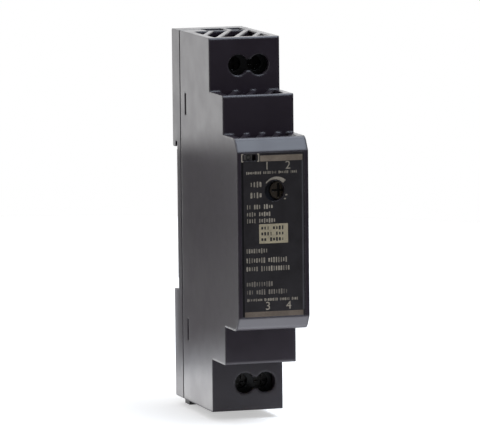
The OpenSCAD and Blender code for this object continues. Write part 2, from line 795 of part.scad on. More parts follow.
module fuse() {
    color("#3a3a3d") {
        translate([0, -fuse_y, fuse_z]) {
            rod_x(fuse_r, board_x1 + part_stand, board_x1 + part_stand + fuse_l);
            rod_x(fuse_r*0.85, board_x1, board_x1 + part_stand + fit_gap);
        }
        leads(fuse_leads, lead_r);
    }
}

module ntc_thermistor() {
    color("#3f6b3d") {
        translate([board_x1 + 1 + ntc_r, -fuse_y, ntc_z])
            cylinder(r = ntc_r, h = ntc_t);
        long_leads(ntc_leads, ntc_r*0.65);
    }
}

module x_capacitor() {
    color("#d8b13a") {
        block([board_x1 + part_stand, part_top_x - part_stand], [-x_cap_y, -x_cap_y + x_cap_l],
            [x_cap_z, x_cap_z + x_cap_t]);
        for (y = [-x_cap_y + 0.3, -x_cap_y + x_cap_l - 0.3 - x_cap_foot])
            block([board_x1, board_x1 + cut], [y, y + x_cap_foot], [x_cap_z + 0.4, x_cap_z + x_cap_t - 0.4]);
        leads(x_cap_leads, lead_r);
    }
}

// Line filter: a square ferrite ring with a winding on each of its two legs
module choke_core() {
    x = [board_x1 + choke_stand, part_top_x - part_stand];
    color("#3b3b40")
        difference() {
            block(x, [-choke_y, -choke_y + choke_l], [choke_z, choke_z + choke_t]);
            block([x[0] + choke_leg, x[1] - choke_leg],
                [-choke_y + choke_leg, -choke_y + choke_l - choke_leg],
                [choke_z - cut, choke_z + choke_t + cut]);
        }
}

module choke_windings() {
    x = [board_x1 + choke_stand + choke_leg + fit_gap, part_top_x - part_stand - choke_leg - fit_gap];
    t = choke_wire_t;
    color("#b5652f") {
        for (y = [-choke_y + choke_leg/2, -choke_y + choke_l - choke_leg/2])
            difference() {
                block(x, [y - choke_leg/2 - t, y + choke_leg/2 + t], [choke_z - t, choke_z + choke_t + t]);
                block([x[0] - cut, x[1] + cut], [y - choke_leg/2 - fit_gap/2, y + choke_leg/2 + fit_gap/2],
                    [choke_z - fit_gap/2, choke_z + choke_t + fit_gap/2]);
            }
        long_leads(choke_leads, choke_stand + choke_leg + 0.6);
    }
}

// Moulded package with legs that bend down to the board on both sides in Y
module dual_in_line(y, z, height, places) {
    leg_x = board_x1 + part_stand + height*0.4;
    leg_t = 0.4;
    leg_half = 0.3;
    block([board_x1 + part_stand, board_x1 + part_stand + height], y, z);
    for (p = places) {
        out = p[0] < (y[0] + y[1])/2 ? [p[0] - leg_t/2, y[0] + leg_t] : [y[1] - leg_t, p[0] + leg_t/2];
        block([leg_x, leg_x + leg_t], out, [p[1] - leg_half, p[1] + leg_half]);
        block([board_x1, leg_x + leg_t], [p[0] - leg_t/2, p[0] + leg_t/2],
            [p[1] - leg_half, p[1] + leg_half]);
    }
    leads(places, lead_r);
}

module bridge_rectifier() {
    color("#2a2a2c")
        dual_in_line([-bridge_y, -bridge_y + bridge_l], [bridge_z, bridge_z + bridge_w],
            bridge_h, bridge_leads);
}

// Can with a crimped groove near the end that its leads leave, lying along Z
module bulk_capacitor(middle_y) {
    r = bulk_d/2;
    bevel = 0.4;
    groove = bulk_l - 2.4;
    x = board_x1 + part_stand + r;
    color("#27406b") {
        translate([x, -middle_y, bulk_z])
            rotate_extrude()
                polygon([[0, 0], [r - bevel, 0], [r, bevel], [r, groove], [r - bevel, groove + bevel],
                    [r - bevel, groove + 2*bevel], [r, groove + 3*bevel], [r, bulk_l - bevel],
                    [r - bevel, bulk_l], [0, bulk_l]]);
        for (p = lead_row(middle_y, bulk_lead_z, 2, bulk_lead_pitch, 0)) {
            translate([x, p[0], bulk_z + bulk_l - bevel])
                cylinder(r = lead_r*0.8, h = bulk_lead_z - bulk_z - bulk_l + bevel);
            translate([0, p[0], p[1]])
                rod_x(lead_r, board_x0 - lead_out, x + lead_r);
        }
    }
}

module switching_ic() {
    color("#262628")
        dual_in_line([-ic_y, -ic_y + ic_l], [ic_z, ic_z + ic_w], ic_h, ic_leads);
}

// Transformer: a ferrite frame with a middle leg, round a bobbin whose axis stands across the board
core_x = [board_x1 + 1.6, part_top_x];

module transformer_core() {
    half_y = core_l/2;
    color("#35353a")
        difference() {
            block(core_x, [-core_y - half_y, -core_y + half_y], [core_z - core_t/2, core_z + core_t/2]);
            for (y = [[-half_y + core_leg, -leg_half[0]], [leg_half[0], half_y - core_leg]])
                block([core_x[0] + core_back, core_x[1] - core_back], [y[0] - core_y, y[1] - core_y],
                    [core_z - core_t/2 - cut, core_z + core_t/2 + cut]);
        }
}

// Square ring round the core's middle leg, with its half sizes in Y and Z
module leg_ring(x, inner, outer) {
    difference() {
        block(x, [-core_y - outer[0], -core_y + outer[0]], [core_z - outer[1], core_z + outer[1]]);
        block([x[0] - cut, x[1] + cut], [-core_y - inner[0], -core_y + inner[0]],
            [core_z - inner[1], core_z + inner[1]]);
    }
}

module transformer_bobbin() {
    x = [core_x[0] + core_back + fit_gap/2, core_x[1] - core_back - fit_gap/2];
    bore = leg_half + [fit_gap/2, fit_gap/2];
    color("#1f1f22") {
        leg_ring(x, bore, leg_half + [tube_t, tube_t]);
        leg_ring([x[0], x[0] + tube_t], bore, flange_half);
        leg_ring([x[1] - tube_t, x[1]], bore, flange_half);
        for (z = [-bobbin_half_w, bobbin_half_w - bobbin_foot])
            block([board_x1, x[0] + tube_t], [-core_y - bobbin_l/2, -core_y + bobbin_l/2],
                [core_z + z, core_z + z + bobbin_foot]);
        leads(transformer_leads, lead_r);
    }
}

module transformer_winding() {
    side = core_back + tube_t + fit_gap;
    tube = leg_half + [tube_t + fit_gap/2, tube_t + fit_gap/2];
    color("#e3c54d")
        leg_ring([core_x[0] + side, core_x[1] - side], tube, winding_half);
}

module y_capacitor() {
    color("#2f6fb0") {
        translate([board_x1 + 1 + y_cap_r, 0, y_cap_z])
            rod_y(y_cap_r, -y_cap_y - y_cap_t, -y_cap_y);
        long_leads(y_cap_leads, 3);
    }
}

module optocoupler() {
    color("#e8e6df")
        dual_in_line([-opto_y, -opto_y + opto_l], [opto_z, opto_z + opto_w], opto_h, opto_leads);
}

module shunt_regulator() {
    flat = regulator_r*0.7;
    color("#28282a") {
        translate([board_x1 + 2, -regulator_y, regulator_z])
            difference() {
                rod_x(regulator_r, 0, regulator_h);
                block([-cut, regulator_h + cut], [-2*regulator_r, -flat], [-2*regulator_r, 2*regulator_r]);
            }
        for (p = regulator_leads)
            translate([0, p[0], p[1]])
                rod_x(lead_r*0.7, board_x0 - lead_out, board_x1 + 2.2);
    }
}

// Output rectifier, held flat against its heat sink
module rectifier_diode() {
    y = -sink_y + sink_l/2;
    color("#242426") {
        block([board_x1 + 3.2, part_top_x - 0.6], [y - diode_l/2, y + diode_l/2], [sink_z - diode_t, sink_z]);
        long_leads(diode_leads, 3.4);
    }
}

module diode_heat_sink() {
    fins = 4;
    foot = 2;
    color("#b7bbbf")
        difference() {
            union() {
                block([board_x1, part_top_x], [-sink_y, -sink_y + sink_l], [sink_z, sink_z + sink_t]);
                for (i = [0:fins - 1]) {
                    y = -sink_y + i*(sink_l - fin_t)/(fins - 1);
                    block([board_x1 + 1.4, part_top_x], [y, y + fin_t], [sink_z, sink_z + sink_t + fin_h]);
                }
            }
            block([board_x1 - cut, board_x1 + 1], [-sink_y + foot, -sink_y + sink_l - foot],
                [sink_z - cut, sink_z + sink_t + cut]);
        }
}

// Drum-shaped output inductor
module output_inductor() {
    r = inductor_r;
    waist = r - 0.5;
    rim = 1.3;
    h = inductor_h;
    color("#3a3a3f") {
        translate([board_x1, -inductor_y, inductor_z])
            rotate([0, 90, 0])
                rotate_extrude()
                    polygon([[0, 0], [r, 0], [r, rim], [waist, rim + 0.3], [waist, h - rim - 0.3],
                        [r, h - rim], [r, h], [0, h]]);
        leads(inductor_leads, lead_r);
    }
}

// Can with a crimped groove near its foot, standing on the board
module output_capacitor(z) {
    r = output_cap_d/2;
    bevel = 0.35;
    foot = 0.2;
    groove = 1.4;
    h = part_top_x - board_x1 - part_stand;
    color("#1d1d20") {
        translate([board_x1, -output_cap_y, z])
            rotate([0, 90, 0])
                rotate_extrude()
                    polygon([[0, foot], [r - bevel, foot], [r, foot + bevel], [r, groove],
                        [r - bevel, groove + bevel], [r - bevel, groove + 2*bevel], [r, groove + 3*bevel],
                        [r, h - bevel], [r - bevel, h], [0, h]]);
        long_leads(lead_row(output_cap_y, z, 2, output_cap_pitch, 0), 0.5);
    }
}

// Small surface-mounted resistors and capacitors
module chip_parts() {
    chip = [0.6, 2, 1.2];
    near_pot = [for (z = [-2.4, 0.6]) [pot_front_y - pot_depth - 2, dial_z + z]];
    near_lamp = [for (y = [5.2, 7.8]) [nose_inner_y - y, lamp_z - 2]];
    near_ic = [for (y = [2.8, 5.8, 8.8], z = [12.9, 15.9]) [board_back_y + y, bulk_z + z]];
    near_output = [[board_back_y + 1.6, core_z], [term_back_y + 0.6, term_bottom_z - 3.6]];
    for (p = concat(near_pot, near_lamp, near_ic, near_output))
        color("#8d8578")
            block([board_x1, board_x1 + chip[0]], [-p[0] - chip[1]/2, -p[0] + chip[1]/2],
                [p[1] - chip[2]/2, p[1] + chip[2]/2]);
}

output_left = output_x - pole_pitch/2;
output_right = output_x + pole_pitch/2;
input_left = input_x - pole_pitch/2;
input_right = input_x + pole_pitch/2;

front_housing();
rear_cover();
front_label();
din_latch();
latch_spring();
main_pcb();
terminal_body(output_x);  // output_terminal_body
at_input() terminal_body(input_x);  // input_terminal_body
contact_strip(output_left, tail_z(0));  // output_contacts
contact_strip(output_right, tail_z(1));  // output_contacts
at_input() contact_strip(input_left, tail_z(0));  // input_contacts
at_input() contact_strip(input_right, tail_z(1));  // input_contacts
clamp_screw(output_left);  // output_screw_left
clamp_screw(output_right);  // output_screw_right
at_input() clamp_screw(input_left);  // input_screw_left
at_input() clamp_screw(input_right);  // input_screw_right
clamp_cage(output_left);  // output_cage_left
clamp_cage(output_right);  // output_cage_right
at_input() clamp_cage(input_left);  // input_cage_left
at_input() clamp_cage(input_right);  // input_cage_right
trim_pot_body();
trim_pot_rotor();
status_led();
fuse();
ntc_thermistor();
x_capacitor();
choke_core();
choke_windings();
bridge_rectifier();
bulk_capacitor(bulk_1_y);  // bulk_capacitor_1
bulk_capacitor(bulk_2_y);  // bulk_capacitor_2
switching_ic();
transformer_core();
transformer_bobbin();
transformer_winding();
y_capacitor();
optocoupler();
shunt_regulator();
rectifier_diode();
diode_heat_sink();
output_inductor();
output_capacitor(output_cap_z[0]);  // output_capacitor_1
output_capacitor(output_cap_z[1]);  // output_capacitor_2
chip_parts();
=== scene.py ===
"""Looks of a slim stepped power supply for a 35 mm rail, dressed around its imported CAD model.

Metres, in the CAD's frame: +Z up, the front faces -Y, +X to the right as seen from the front, and
the origin is the middle of the seat that bears on the rail's two lips.
"""

import math

import bpy
import numpy as np
from mathutils import Matrix, Vector
from mathutils.bvhtree import BVHTree


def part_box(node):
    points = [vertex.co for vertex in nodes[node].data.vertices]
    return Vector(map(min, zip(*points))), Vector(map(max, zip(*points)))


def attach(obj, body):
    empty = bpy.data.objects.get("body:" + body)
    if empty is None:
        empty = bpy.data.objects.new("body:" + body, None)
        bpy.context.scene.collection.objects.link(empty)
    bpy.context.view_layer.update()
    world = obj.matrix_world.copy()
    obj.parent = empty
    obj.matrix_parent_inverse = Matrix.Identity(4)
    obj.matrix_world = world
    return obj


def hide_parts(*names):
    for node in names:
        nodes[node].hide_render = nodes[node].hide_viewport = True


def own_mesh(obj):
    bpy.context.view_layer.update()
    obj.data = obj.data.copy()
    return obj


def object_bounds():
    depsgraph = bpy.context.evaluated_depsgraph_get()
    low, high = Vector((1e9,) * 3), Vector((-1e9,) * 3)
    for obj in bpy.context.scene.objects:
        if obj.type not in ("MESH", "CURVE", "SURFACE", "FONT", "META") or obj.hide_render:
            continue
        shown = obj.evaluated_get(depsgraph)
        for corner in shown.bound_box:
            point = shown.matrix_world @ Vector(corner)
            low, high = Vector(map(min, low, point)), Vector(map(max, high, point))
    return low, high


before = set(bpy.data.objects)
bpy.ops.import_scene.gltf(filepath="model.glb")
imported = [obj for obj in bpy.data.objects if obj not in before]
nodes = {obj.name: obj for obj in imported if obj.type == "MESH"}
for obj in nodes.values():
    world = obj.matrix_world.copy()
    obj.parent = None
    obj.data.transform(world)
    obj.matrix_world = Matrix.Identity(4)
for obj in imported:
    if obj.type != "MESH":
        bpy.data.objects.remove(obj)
cad_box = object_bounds()
mm = 0.001

# ---------------------------------------------------------------------------------------------
# Camera. The photograph was taken from the left and a little above, with a long lens. Its values
# were fitted to the corners of the case, and the named points below are where things show in it.
W, H = 480, 440
LONG = max(W, H)
POINTS = {
    "left side": 172.0,
    "right side": 310.0,
    "top": 25.2,
    "bottom": 412.0,
    "upper block corner": (208.5, 38.5),
    "upper shoulder corner": (222.3, 96.0),
    "nose upper corner": (236.9, 153.0),
    "nose lower corner": (309.6, 315.8),
    "lower block corner": (282.5, 408.5),
    "left output screw": (238.2, 65.2),
    "right input screw": (265.5, 382.0),
    "lamp window": (250.2, 158.0),
    "adjuster": (274.7, 191.0),
    "upper bar": (281.3, 157.7),
    "lower bar": (274.3, 314.0),
    "plate": (273.6, 233.4),
    "first number": (267.0, 166.1),
    "third number": (268.0, 306.3),
    "first rating row": (258.9, 206.9),
    "first input row": (256.9, 251.0),
}

camera_data = bpy.data.cameras.new("camera")
camera_data.sensor_fit = "AUTO"
camera_data.sensor_width = 36.0
camera_data.lens = 437.3
camera_data.clip_start = 0.1
camera_data.clip_end = 20.0
camera = bpy.data.objects.new("camera", camera_data)
bpy.context.scene.collection.objects.link(camera)
bpy.context.scene.camera = camera

azimuth, elevation, roll = math.radians(-16.6), math.radians(6.55), math.radians(-0.62)
aim = Vector((-0.03, -23.77, 0.56)) * mm
distance = 1.4
back = Vector((math.sin(azimuth) * math.cos(elevation), -math.cos(azimuth) * math.cos(elevation),
               math.sin(elevation)))
level = Vector((0, 0, 1)).cross(back).normalized()
upright = back.cross(level)
right = level * math.cos(roll) + upright * math.sin(roll)
up = upright * math.cos(roll) - level * math.sin(roll)
turned = Matrix((right, up, back)).transposed().to_4x4()
camera.matrix_world = Matrix.Translation(aim + back * distance) @ turned
axes = camera.matrix_world.to_3x3()


def line_of_sight(x, y):
    """Direction of the ray through pixel x, y: in the camera's axes it is the pixel's offset from the
    picture's middle, with the focal length in pixels as its depth."""
    ray = Vector((x - W / 2 + camera_data.shift_x * LONG, H / 2 - y + camera_data.shift_y * LONG,
                  -LONG * camera_data.lens / camera_data.sensor_width))
    return (axes @ ray).normalized()


def pixels(points):
    """Where points in space show in the picture: sideways and upright parts divided by depth, times
    the focal length in pixels, from the picture's middle."""
    away = np.asarray(points, float).reshape(-1, 3) - np.array(camera.matrix_world.translation)
    seen = away @ np.array(axes)
    focal = LONG * camera_data.lens / camera_data.sensor_width
    return np.column_stack((W / 2 - seen[:, 0] / seen[:, 2] * focal - camera_data.shift_x * LONG,
                            H / 2 + seen[:, 1] / seen[:, 2] * focal + camera_data.shift_y * LONG))


def finished(piece):
    """Vertices of a piece in space, with its modifiers, as one array."""
    shown = piece.evaluated_get(bpy.context.evaluated_depsgraph_get())
    mesh = shown.to_mesh()
    points = np.empty(len(mesh.vertices) * 3, np.float32)
    mesh.vertices.foreach_get("co", points)
    shown.to_mesh_clear()
    turn, shift = np.array(piece.matrix_world.to_3x3()), np.array(piece.matrix_world.translation)
    return points.reshape(-1, 3) @ turn.T + shift


def place_on(piece, name):
    """The spot on a finished piece that shows at a named image point, or the spot nearest its ray."""
    depsgraph = bpy.context.evaluated_depsgraph_get()
    tree = BVHTree.FromObject(piece, depsgraph)
    start = camera.matrix_world.translation
    way = line_of_sight(*POINTS[name])
    spot = tree.ray_cast(start, way)[0]
    if spot is None:
        reaches = np.linspace(distance - 0.1, distance + 0.1, 400)
        nearest = (tree.find_nearest(start + way * reach) for reach in reaches)
        spot = min(nearest, key=lambda found: found[3])[0]
    return spot


# ---------------------------------------------------------------------------------------------
# Studio: a pale round table, a white room, two softboxes overhead, two bounce boards on the table
# and one dark card. The room is white behind the part and to its left and dim in front of it, as
# the satin case shows it. The card stands for the rail's dark on the left, in mirrored light alone.
TABLE_RADIUS = 0.26
TABLE_SHIFT = 0.152
TABLE_SIDES = 96
TABLE_COLOUR = (0.9, 0.9, 0.9, 1)
# How much the paper glows by itself, as the camera sees it and as the part's gloss does.
LIFT_SEEN, LIFT_MIRRORED = 0.47, 0.25
table_z = cad_box[0].z


def add(tree, kind, inputs=None, **settings):
    """A new node of a tree with its settings. An input is set to a value or linked to a socket."""
    node = tree.nodes.new(kind)
    for key, value in settings.items():
        setattr(node, key, value)
    for key, value in (inputs or {}).items():
        if isinstance(value, bpy.types.NodeSocket):
            tree.links.new(value, node.inputs[key])
        else:
            node.inputs[key].default_value = value
    return node


def staged(name, points, faces, material):
    """A stage object, which isn't part of the product."""
    mesh = bpy.data.meshes.new(name)
    mesh.from_pydata(points, [], faces)
    mesh.materials.append(material)
    made = bpy.data.objects.new(name, mesh)
    bpy.context.scene.collection.objects.link(made)
    return made


paper = bpy.data.materials.new("white paper")
paper.use_nodes = True
tree = paper.node_tree
surface = tree.nodes["Principled BSDF"]
surface.inputs["Base Color"].default_value = TABLE_COLOUR
surface.inputs["Roughness"].default_value = 0.9
surface.inputs["Specular IOR Level"].default_value = 0.0
surface.inputs["Emission Color"].default_value = (1, 1, 1, 1)
path = add(tree, "ShaderNodeLightPath")
to_camera = add(tree, "ShaderNodeMath", {0: path.outputs["Is Camera Ray"], 1: LIFT_SEEN},
                operation="MULTIPLY")
lift = add(tree, "ShaderNodeMath",
           {0: path.outputs["Is Glossy Ray"], 1: LIFT_MIRRORED, 2: to_camera.outputs[0]},
           operation="MULTIPLY_ADD")
tree.links.new(lift.outputs[0], surface.inputs["Emission Strength"])
edge_turn = np.linspace(0, 2 * np.pi, TABLE_SIDES, endpoint=False)
table_rim = np.column_stack((TABLE_RADIUS * np.cos(edge_turn),
                             TABLE_SHIFT + TABLE_RADIUS * np.sin(edge_turn),
                             np.full(TABLE_SIDES, table_z)))
staged("table", table_rim.tolist(), [list(range(TABLE_SIDES))], paper)

# The card, in millimetres. It is whole between its two middle heights and fades out towards its
# foot and its top.
CARD_Y = 3.5
CARD_LEFT, CARD_RIGHT = -45, -9.6
CARD_FOOT, CARD_LOW, CARD_HIGH, CARD_TOP = -41, -29, 13, 20
dark = bpy.data.materials.new("dark card")
dark.use_nodes = True
tree = dark.node_tree
tree.nodes.clear()
card_place = add(tree, "ShaderNodeTexCoord").outputs["Object"]
height = add(tree, "ShaderNodeSeparateXYZ", {0: card_place}).outputs["Z"]
above = add(tree, "ShaderNodeMapRange",
            {"Value": height, "From Min": CARD_HIGH * mm, "From Max": CARD_TOP * mm},
            interpolation_type="SMOOTHSTEP")
below = add(tree, "ShaderNodeMapRange",
            {"Value": height, "From Min": CARD_LOW * mm, "From Max": CARD_FOOT * mm},
            interpolation_type="SMOOTHSTEP")
fade = add(tree, "ShaderNodeMath", {0: above.outputs[0], 1: below.outputs[0]}, operation="MAXIMUM")
lower_glow = add(tree, "ShaderNodeMapRange", {"Value": height, "From Min": -3 * mm, "From Max": -18 * mm,
                                              "To Min": 0.26, "To Max": 0.36})
glow = add(tree, "ShaderNodeEmission", {"Color": (1, 1, 1, 1), "Strength": lower_glow.outputs[0]})
gone = add(tree, "ShaderNodeBsdfTransparent")
mixed = add(tree, "ShaderNodeMixShader", {0: fade.outputs[0], 1: glow.outputs[0], 2: gone.outputs[0]})
add(tree, "ShaderNodeOutputMaterial", {"Surface": mixed.outputs[0]})
card_corners = [(CARD_LEFT, CARD_Y, CARD_FOOT), (CARD_RIGHT, CARD_Y, CARD_FOOT),
                (CARD_RIGHT, CARD_Y, CARD_TOP), (CARD_LEFT, CARD_Y, CARD_TOP)]
card = staged("dark_card", [Vector(place) * mm for place in card_corners], [(0, 1, 2, 3)], dark)
card.visible_camera = card.visible_diffuse = card.visible_shadow = card.visible_transmission = False

# The room's strength: for diffuse light, and for mirrored light in front of and behind the part.
ROOM_DIFFUSE = 0.55
ROOM_FRONT, ROOM_BACK = 0.08, 1.7
world = bpy.data.worlds.new("white room")
bpy.context.scene.world = world
world.use_nodes = True
tree = world.node_tree
tree.nodes.clear()
direction = add(tree, "ShaderNodeTexCoord").outputs["Generated"]
towards = add(tree, "ShaderNodeSeparateXYZ", {0: direction})
leftward = add(tree, "ShaderNodeMath", {0: towards.outputs["X"], 1: -0.9, 2: towards.outputs["Y"]},
               operation="MULTIPLY_ADD")
behind = add(tree, "ShaderNodeMapRange", {"Value": leftward.outputs[0], "From Min": 0.0, "From Max": 0.75,
                                          "To Min": ROOM_FRONT, "To Max": ROOM_BACK},
             interpolation_type="SMOOTHSTEP")
path = add(tree, "ShaderNodeLightPath")
mirrored = add(tree, "ShaderNodeMath",
               {0: path.outputs["Is Glossy Ray"], 1: path.outputs["Is Transmission Ray"]},
               operation="MAXIMUM")
lighting = add(tree, "ShaderNodeMix",
               {"Factor": mirrored.outputs[0], "A": ROOM_DIFFUSE, "B": behind.outputs[0]})
strength = add(tree, "ShaderNodeMix",
               {"Factor": path.outputs["Is Camera Ray"], "A": lighting.outputs[0], "B": 1.0})
room = add(tree, "ShaderNodeBackground", {"Color": (1, 1, 1, 1), "Strength": strength.outputs[0]})
add(tree, "ShaderNodeOutputWorld", {"Surface": room.outputs[0]})


def softbox(name, middle, towards, size, radiance, colour=(1, 1, 1), cone=180):
    """An oblong soft lamp that faces a spot and shines within a cone, in degrees. Its power is
    radiance times pi times its area."""
    lamp = bpy.data.lights.new(name, "AREA")
    lamp.shape = "RECTANGLE"
    lamp.size, lamp.size_y = size
    lamp.energy = radiance * math.pi * size[0] * size[1]
    lamp.color = colour
    lamp.spread = math.radians(cone)
    holder = bpy.data.objects.new(name, lamp)
    holder.location = middle
    holder.rotation_euler = (Vector(towards) - Vector(middle)).to_track_quat("-Z", "Y").to_euler()
    holder.visible_camera = False
    bpy.context.scene.collection.objects.link(holder)
    return holder


COOL = (0.86, 0.96, 1.1)
PALE_COOL = (0.94, 0.97, 1.05)
just_over = table_z + 1 * mm
softbox("overhead softbox", (0.25, -0.40, 0.78), (0, -0.04, 0), (0.7, 0.55), 5.4, COOL)
rear = softbox("rear softbox", (0.25, 0.22, 0.80), (0, -0.04, 0), (0.5, 0.6), 3.4, COOL)
rear.visible_diffuse = False
softbox("low bounce", (0.008, -0.056, just_over), (0.008, -0.056, 1), (0.04, 0.028), 1.35, PALE_COOL, 125)
softbox("left bounce", (-0.045, 0.012, just_over), (-0.045, 0.012, 1), (0.07, 0.075), 1.75)

# ---------------------------------------------------------------------------------------------
# Front housing: the stepped shell that carries the terminals and the label. It is injection
# moulded in charcoal polycarbonate with a fine spark-eroded grain. Its corners are eased by the
# mould and painted paler along the edges, partly as wear from handling and partly as painted
# highlight, and the cover snaps into it from behind.
HOUSING_COLOUR = (0.0155, 0.0105, 0.0165, 1)
# The colour painted on the edges: partly wear, partly painted highlight.
HOUSING_EDGE_WEAR_AND_HIGHLIGHT = (0.06, 0.058, 0.064, 1)


def effect(name, takes, gives):
    """A shader node group with named inputs, each with its kind and starting value, and named
    outputs. It comes back with the sockets that its nodes start from and end in."""
    made = bpy.data.node_groups.new(name, "ShaderNodeTree")
    kinds = {"colour": "NodeSocketColor", "vector": "NodeSocketVector", "value": "NodeSocketFloat"}
    for label, (kind, value) in takes.items():
        made.interface.new_socket(label, in_out="INPUT", socket_type=kinds[kind]).default_value = value
    for label, kind in gives.items():
        made.interface.new_socket(label, in_out="OUTPUT", socket_type=kinds[kind])
    return made, made.nodes.new("NodeGroupInput").outputs, made.nodes.new("NodeGroupOutput").inputs


def spread(tree, value, low, high, start=0.35, end=0.65):
    """A value that runs from start to end, stretched to run from low to high."""
    return add(tree, "ShaderNodeMapRange", {"Value": value, "From Min": start, "From Max": end,
                                            "To Min": low, "To Max": high}).outputs["Result"]


def maths(tree, operation, *values):
    """The result of one sum on values or sockets."""
    return add(tree, "ShaderNodeMath", dict(enumerate(values)), operation=operation).outputs[0]


def object_place(tree):
    """Where a point is in its piece's own coordinates, in metres."""
    return add(tree, "ShaderNodeTexCoord").outputs["Object"]


def blend_colours(tree, share, first, second):
    """A colour that goes from the first to the second with the share."""
    return add(tree, "ShaderNodeMix", {0: share, 6: first, 7: second}, data_type="RGBA").outputs[2]


def dimmed(tree, colour, share):
    """A colour times a share."""
    return add(tree, "ShaderNodeVectorMath", {0: colour, "Scale": share}, operation="SCALE").outputs[0]


def dot(tree, first, second):
    """The dot product of two vectors."""
    product = add(tree, "ShaderNodeVectorMath", {0: first, 1: second}, operation="DOT_PRODUCT")
    return product.outputs["Value"]


# Moulded grain: fine noise is the relief, and noise 25 times as coarse clouds the colour and sheen.
moulded_grain, takes, gives = effect(
    "moulded grain",
    {"Colour": ("colour", (0.5, 0.5, 0.5, 1)), "Scale": ("value", 4000), "Stretch": ("vector", (1, 1, 1)),
     "Tone": ("value", 0.1), "Roughness": ("value", 0.4), "Sheen spread": ("value", 0.05)},
    {"Colour": "colour", "Roughness": "value", "Height": "value"})
tree = moulded_grain
place = add(tree, "ShaderNodeVectorMath", {0: object_place(tree), 1: takes["Stretch"]},
            operation="MULTIPLY").outputs[0]
fine = add(tree, "ShaderNodeTexNoise", {"Vector": place, "Scale": takes["Scale"], "Detail": 2.0}).outputs[0]
coarse = maths(tree, "MULTIPLY", takes["Scale"], 0.04)
cloud = add(tree, "ShaderNodeTexNoise", {"Vector": place, "Scale": coarse, "Detail": 3.0}).outputs[0]
both = maths(tree, "ADD", spread(tree, cloud, -0.6, 0.6), spread(tree, fine, -0.4, 0.4))
shade = maths(tree, "MULTIPLY_ADD", both, takes["Tone"], 1.0)
toned = dimmed(tree, takes["Colour"], shade)
tree.links.new(toned, gives["Colour"])
sheen = maths(tree, "MULTIPLY_ADD", both, takes["Sheen spread"], takes["Roughness"])
tree.links.new(sheen, gives["Roughness"])
tree.links.new(fine, gives["Height"])

# Eased edge: the normal rounded over a radius, and a broken mask where it leaves the flat normal.
# The mask paints the edges paler: partly wear, partly painted highlight.
eased_edge, takes, gives = effect(
    "eased edge", {"Radius": ("value", 0.0003), "Wear and highlight": ("value", 0.5), "Scale": ("value", 900)},
    {"Normal": "vector", "Edge wear and highlight": "value"})
tree = eased_edge
rounded = add(tree, "ShaderNodeBevel", {"Radius": takes["Radius"]}, samples=6).outputs[0]
flat = add(tree, "ShaderNodeNewGeometry").outputs["Normal"]
agree = dot(tree, rounded, flat)
patch = add(tree, "ShaderNodeTexNoise",
            {"Vector": object_place(tree), "Scale": takes["Scale"], "Detail": 4.0}).outputs[0]
wear_and_highlight_mask = maths(tree, "MULTIPLY", spread(tree, agree, 0.0, 1.0, 0.99, 0.75), spread(tree, patch, 0.25, 1.0))
tree.links.new(rounded, gives["Normal"])
tree.links.new(maths(tree, "MULTIPLY", wear_and_highlight_mask, takes["Wear and highlight"]), gives["Edge wear and highlight"])


def grained(name, colour, roughness, edge_wear_and_highlight=None, scale=4000, stretch=(1, 1, 1), tone=0.12, relief=0.01,
            edge=0.3, wear_and_highlight=0.5, metallic=0.0, coat=0.0, specular=0.5):
    """A finish with moulded grain and eased edges. It takes the body colour, the edges' paler colour,
    partly wear and partly painted highlight, the grain's fineness per metre, and its relief and edge
    radius in millimetres."""
    material = bpy.data.materials.new(name)
    material.use_nodes = True
    tree = material.node_tree
    shader = tree.nodes["Principled BSDF"]
    grain = add(tree, "ShaderNodeGroup", node_tree=moulded_grain)
    for label, value in (("Colour", colour), ("Scale", scale), ("Stretch", stretch), ("Tone", tone),
                         ("Roughness", roughness)):
        grain.inputs[label].default_value = value
    edges = add(tree, "ShaderNodeGroup", node_tree=eased_edge)
    edges.inputs["Radius"].default_value = edge * mm
    edges.inputs["Wear and highlight"].default_value = wear_and_highlight
    edge_wear_and_highlight_colour = edge_wear_and_highlight or tuple(min(1.0, 1.5 * part) for part in colour)
    # The edges are painted paler by the mask: partly wear, partly painted highlight.
    body = blend_colours(tree, edges.outputs["Edge wear and highlight"], grain.outputs["Colour"], edge_wear_and_highlight_colour)
    bump = add(tree, "ShaderNodeBump",
               {"Strength": 1.0, "Distance": relief * mm, "Height": grain.outputs["Height"],
                "Normal": edges.outputs["Normal"]})
    tree.links.new(body, shader.inputs["Base Color"])
    tree.links.new(grain.outputs["Roughness"], shader.inputs["Roughness"])
    tree.links.new(bump.outputs[0], shader.inputs["Normal"])
    shader.inputs["Metallic"].default_value = metallic
    shader.inputs["Coat Weight"].default_value = coat
    shader.inputs["Specular IOR Level"].default_value = specular
    return material


def dress(material, *names):
    """Gives CAD nodes their finish."""
    for name in names:
        nodes[name].data.materials.clear()
        nodes[name].data.materials.append(material)


charcoal = grained("charcoal polycarbonate", HOUSING_COLOUR, 0.33, HOUSING_EDGE_WEAR_AND_HIGHLIGHT, relief=0.006, edge=0.8)
dress(charcoal, "front_housing")

# ---------------------------------------------------------------------------------------------
# Rear cover: the tray that closes the back and sits on the rail, moulded in the same plastic. Its
# fixed hook, seat and guide walls are polished by the rail and the latch.
# Its edges are painted paler too: partly wear, partly painted highlight.
cover_plastic = grained("charcoal polycarbonate of the cover", (0.015, 0.0104, 0.0155, 1), 0.35,
                        HOUSING_EDGE_WEAR_AND_HIGHLIGHT, relief=0.006, edge=0.4, wear_and_highlight=0.7)
dress(cover_plastic, "rear_cover")

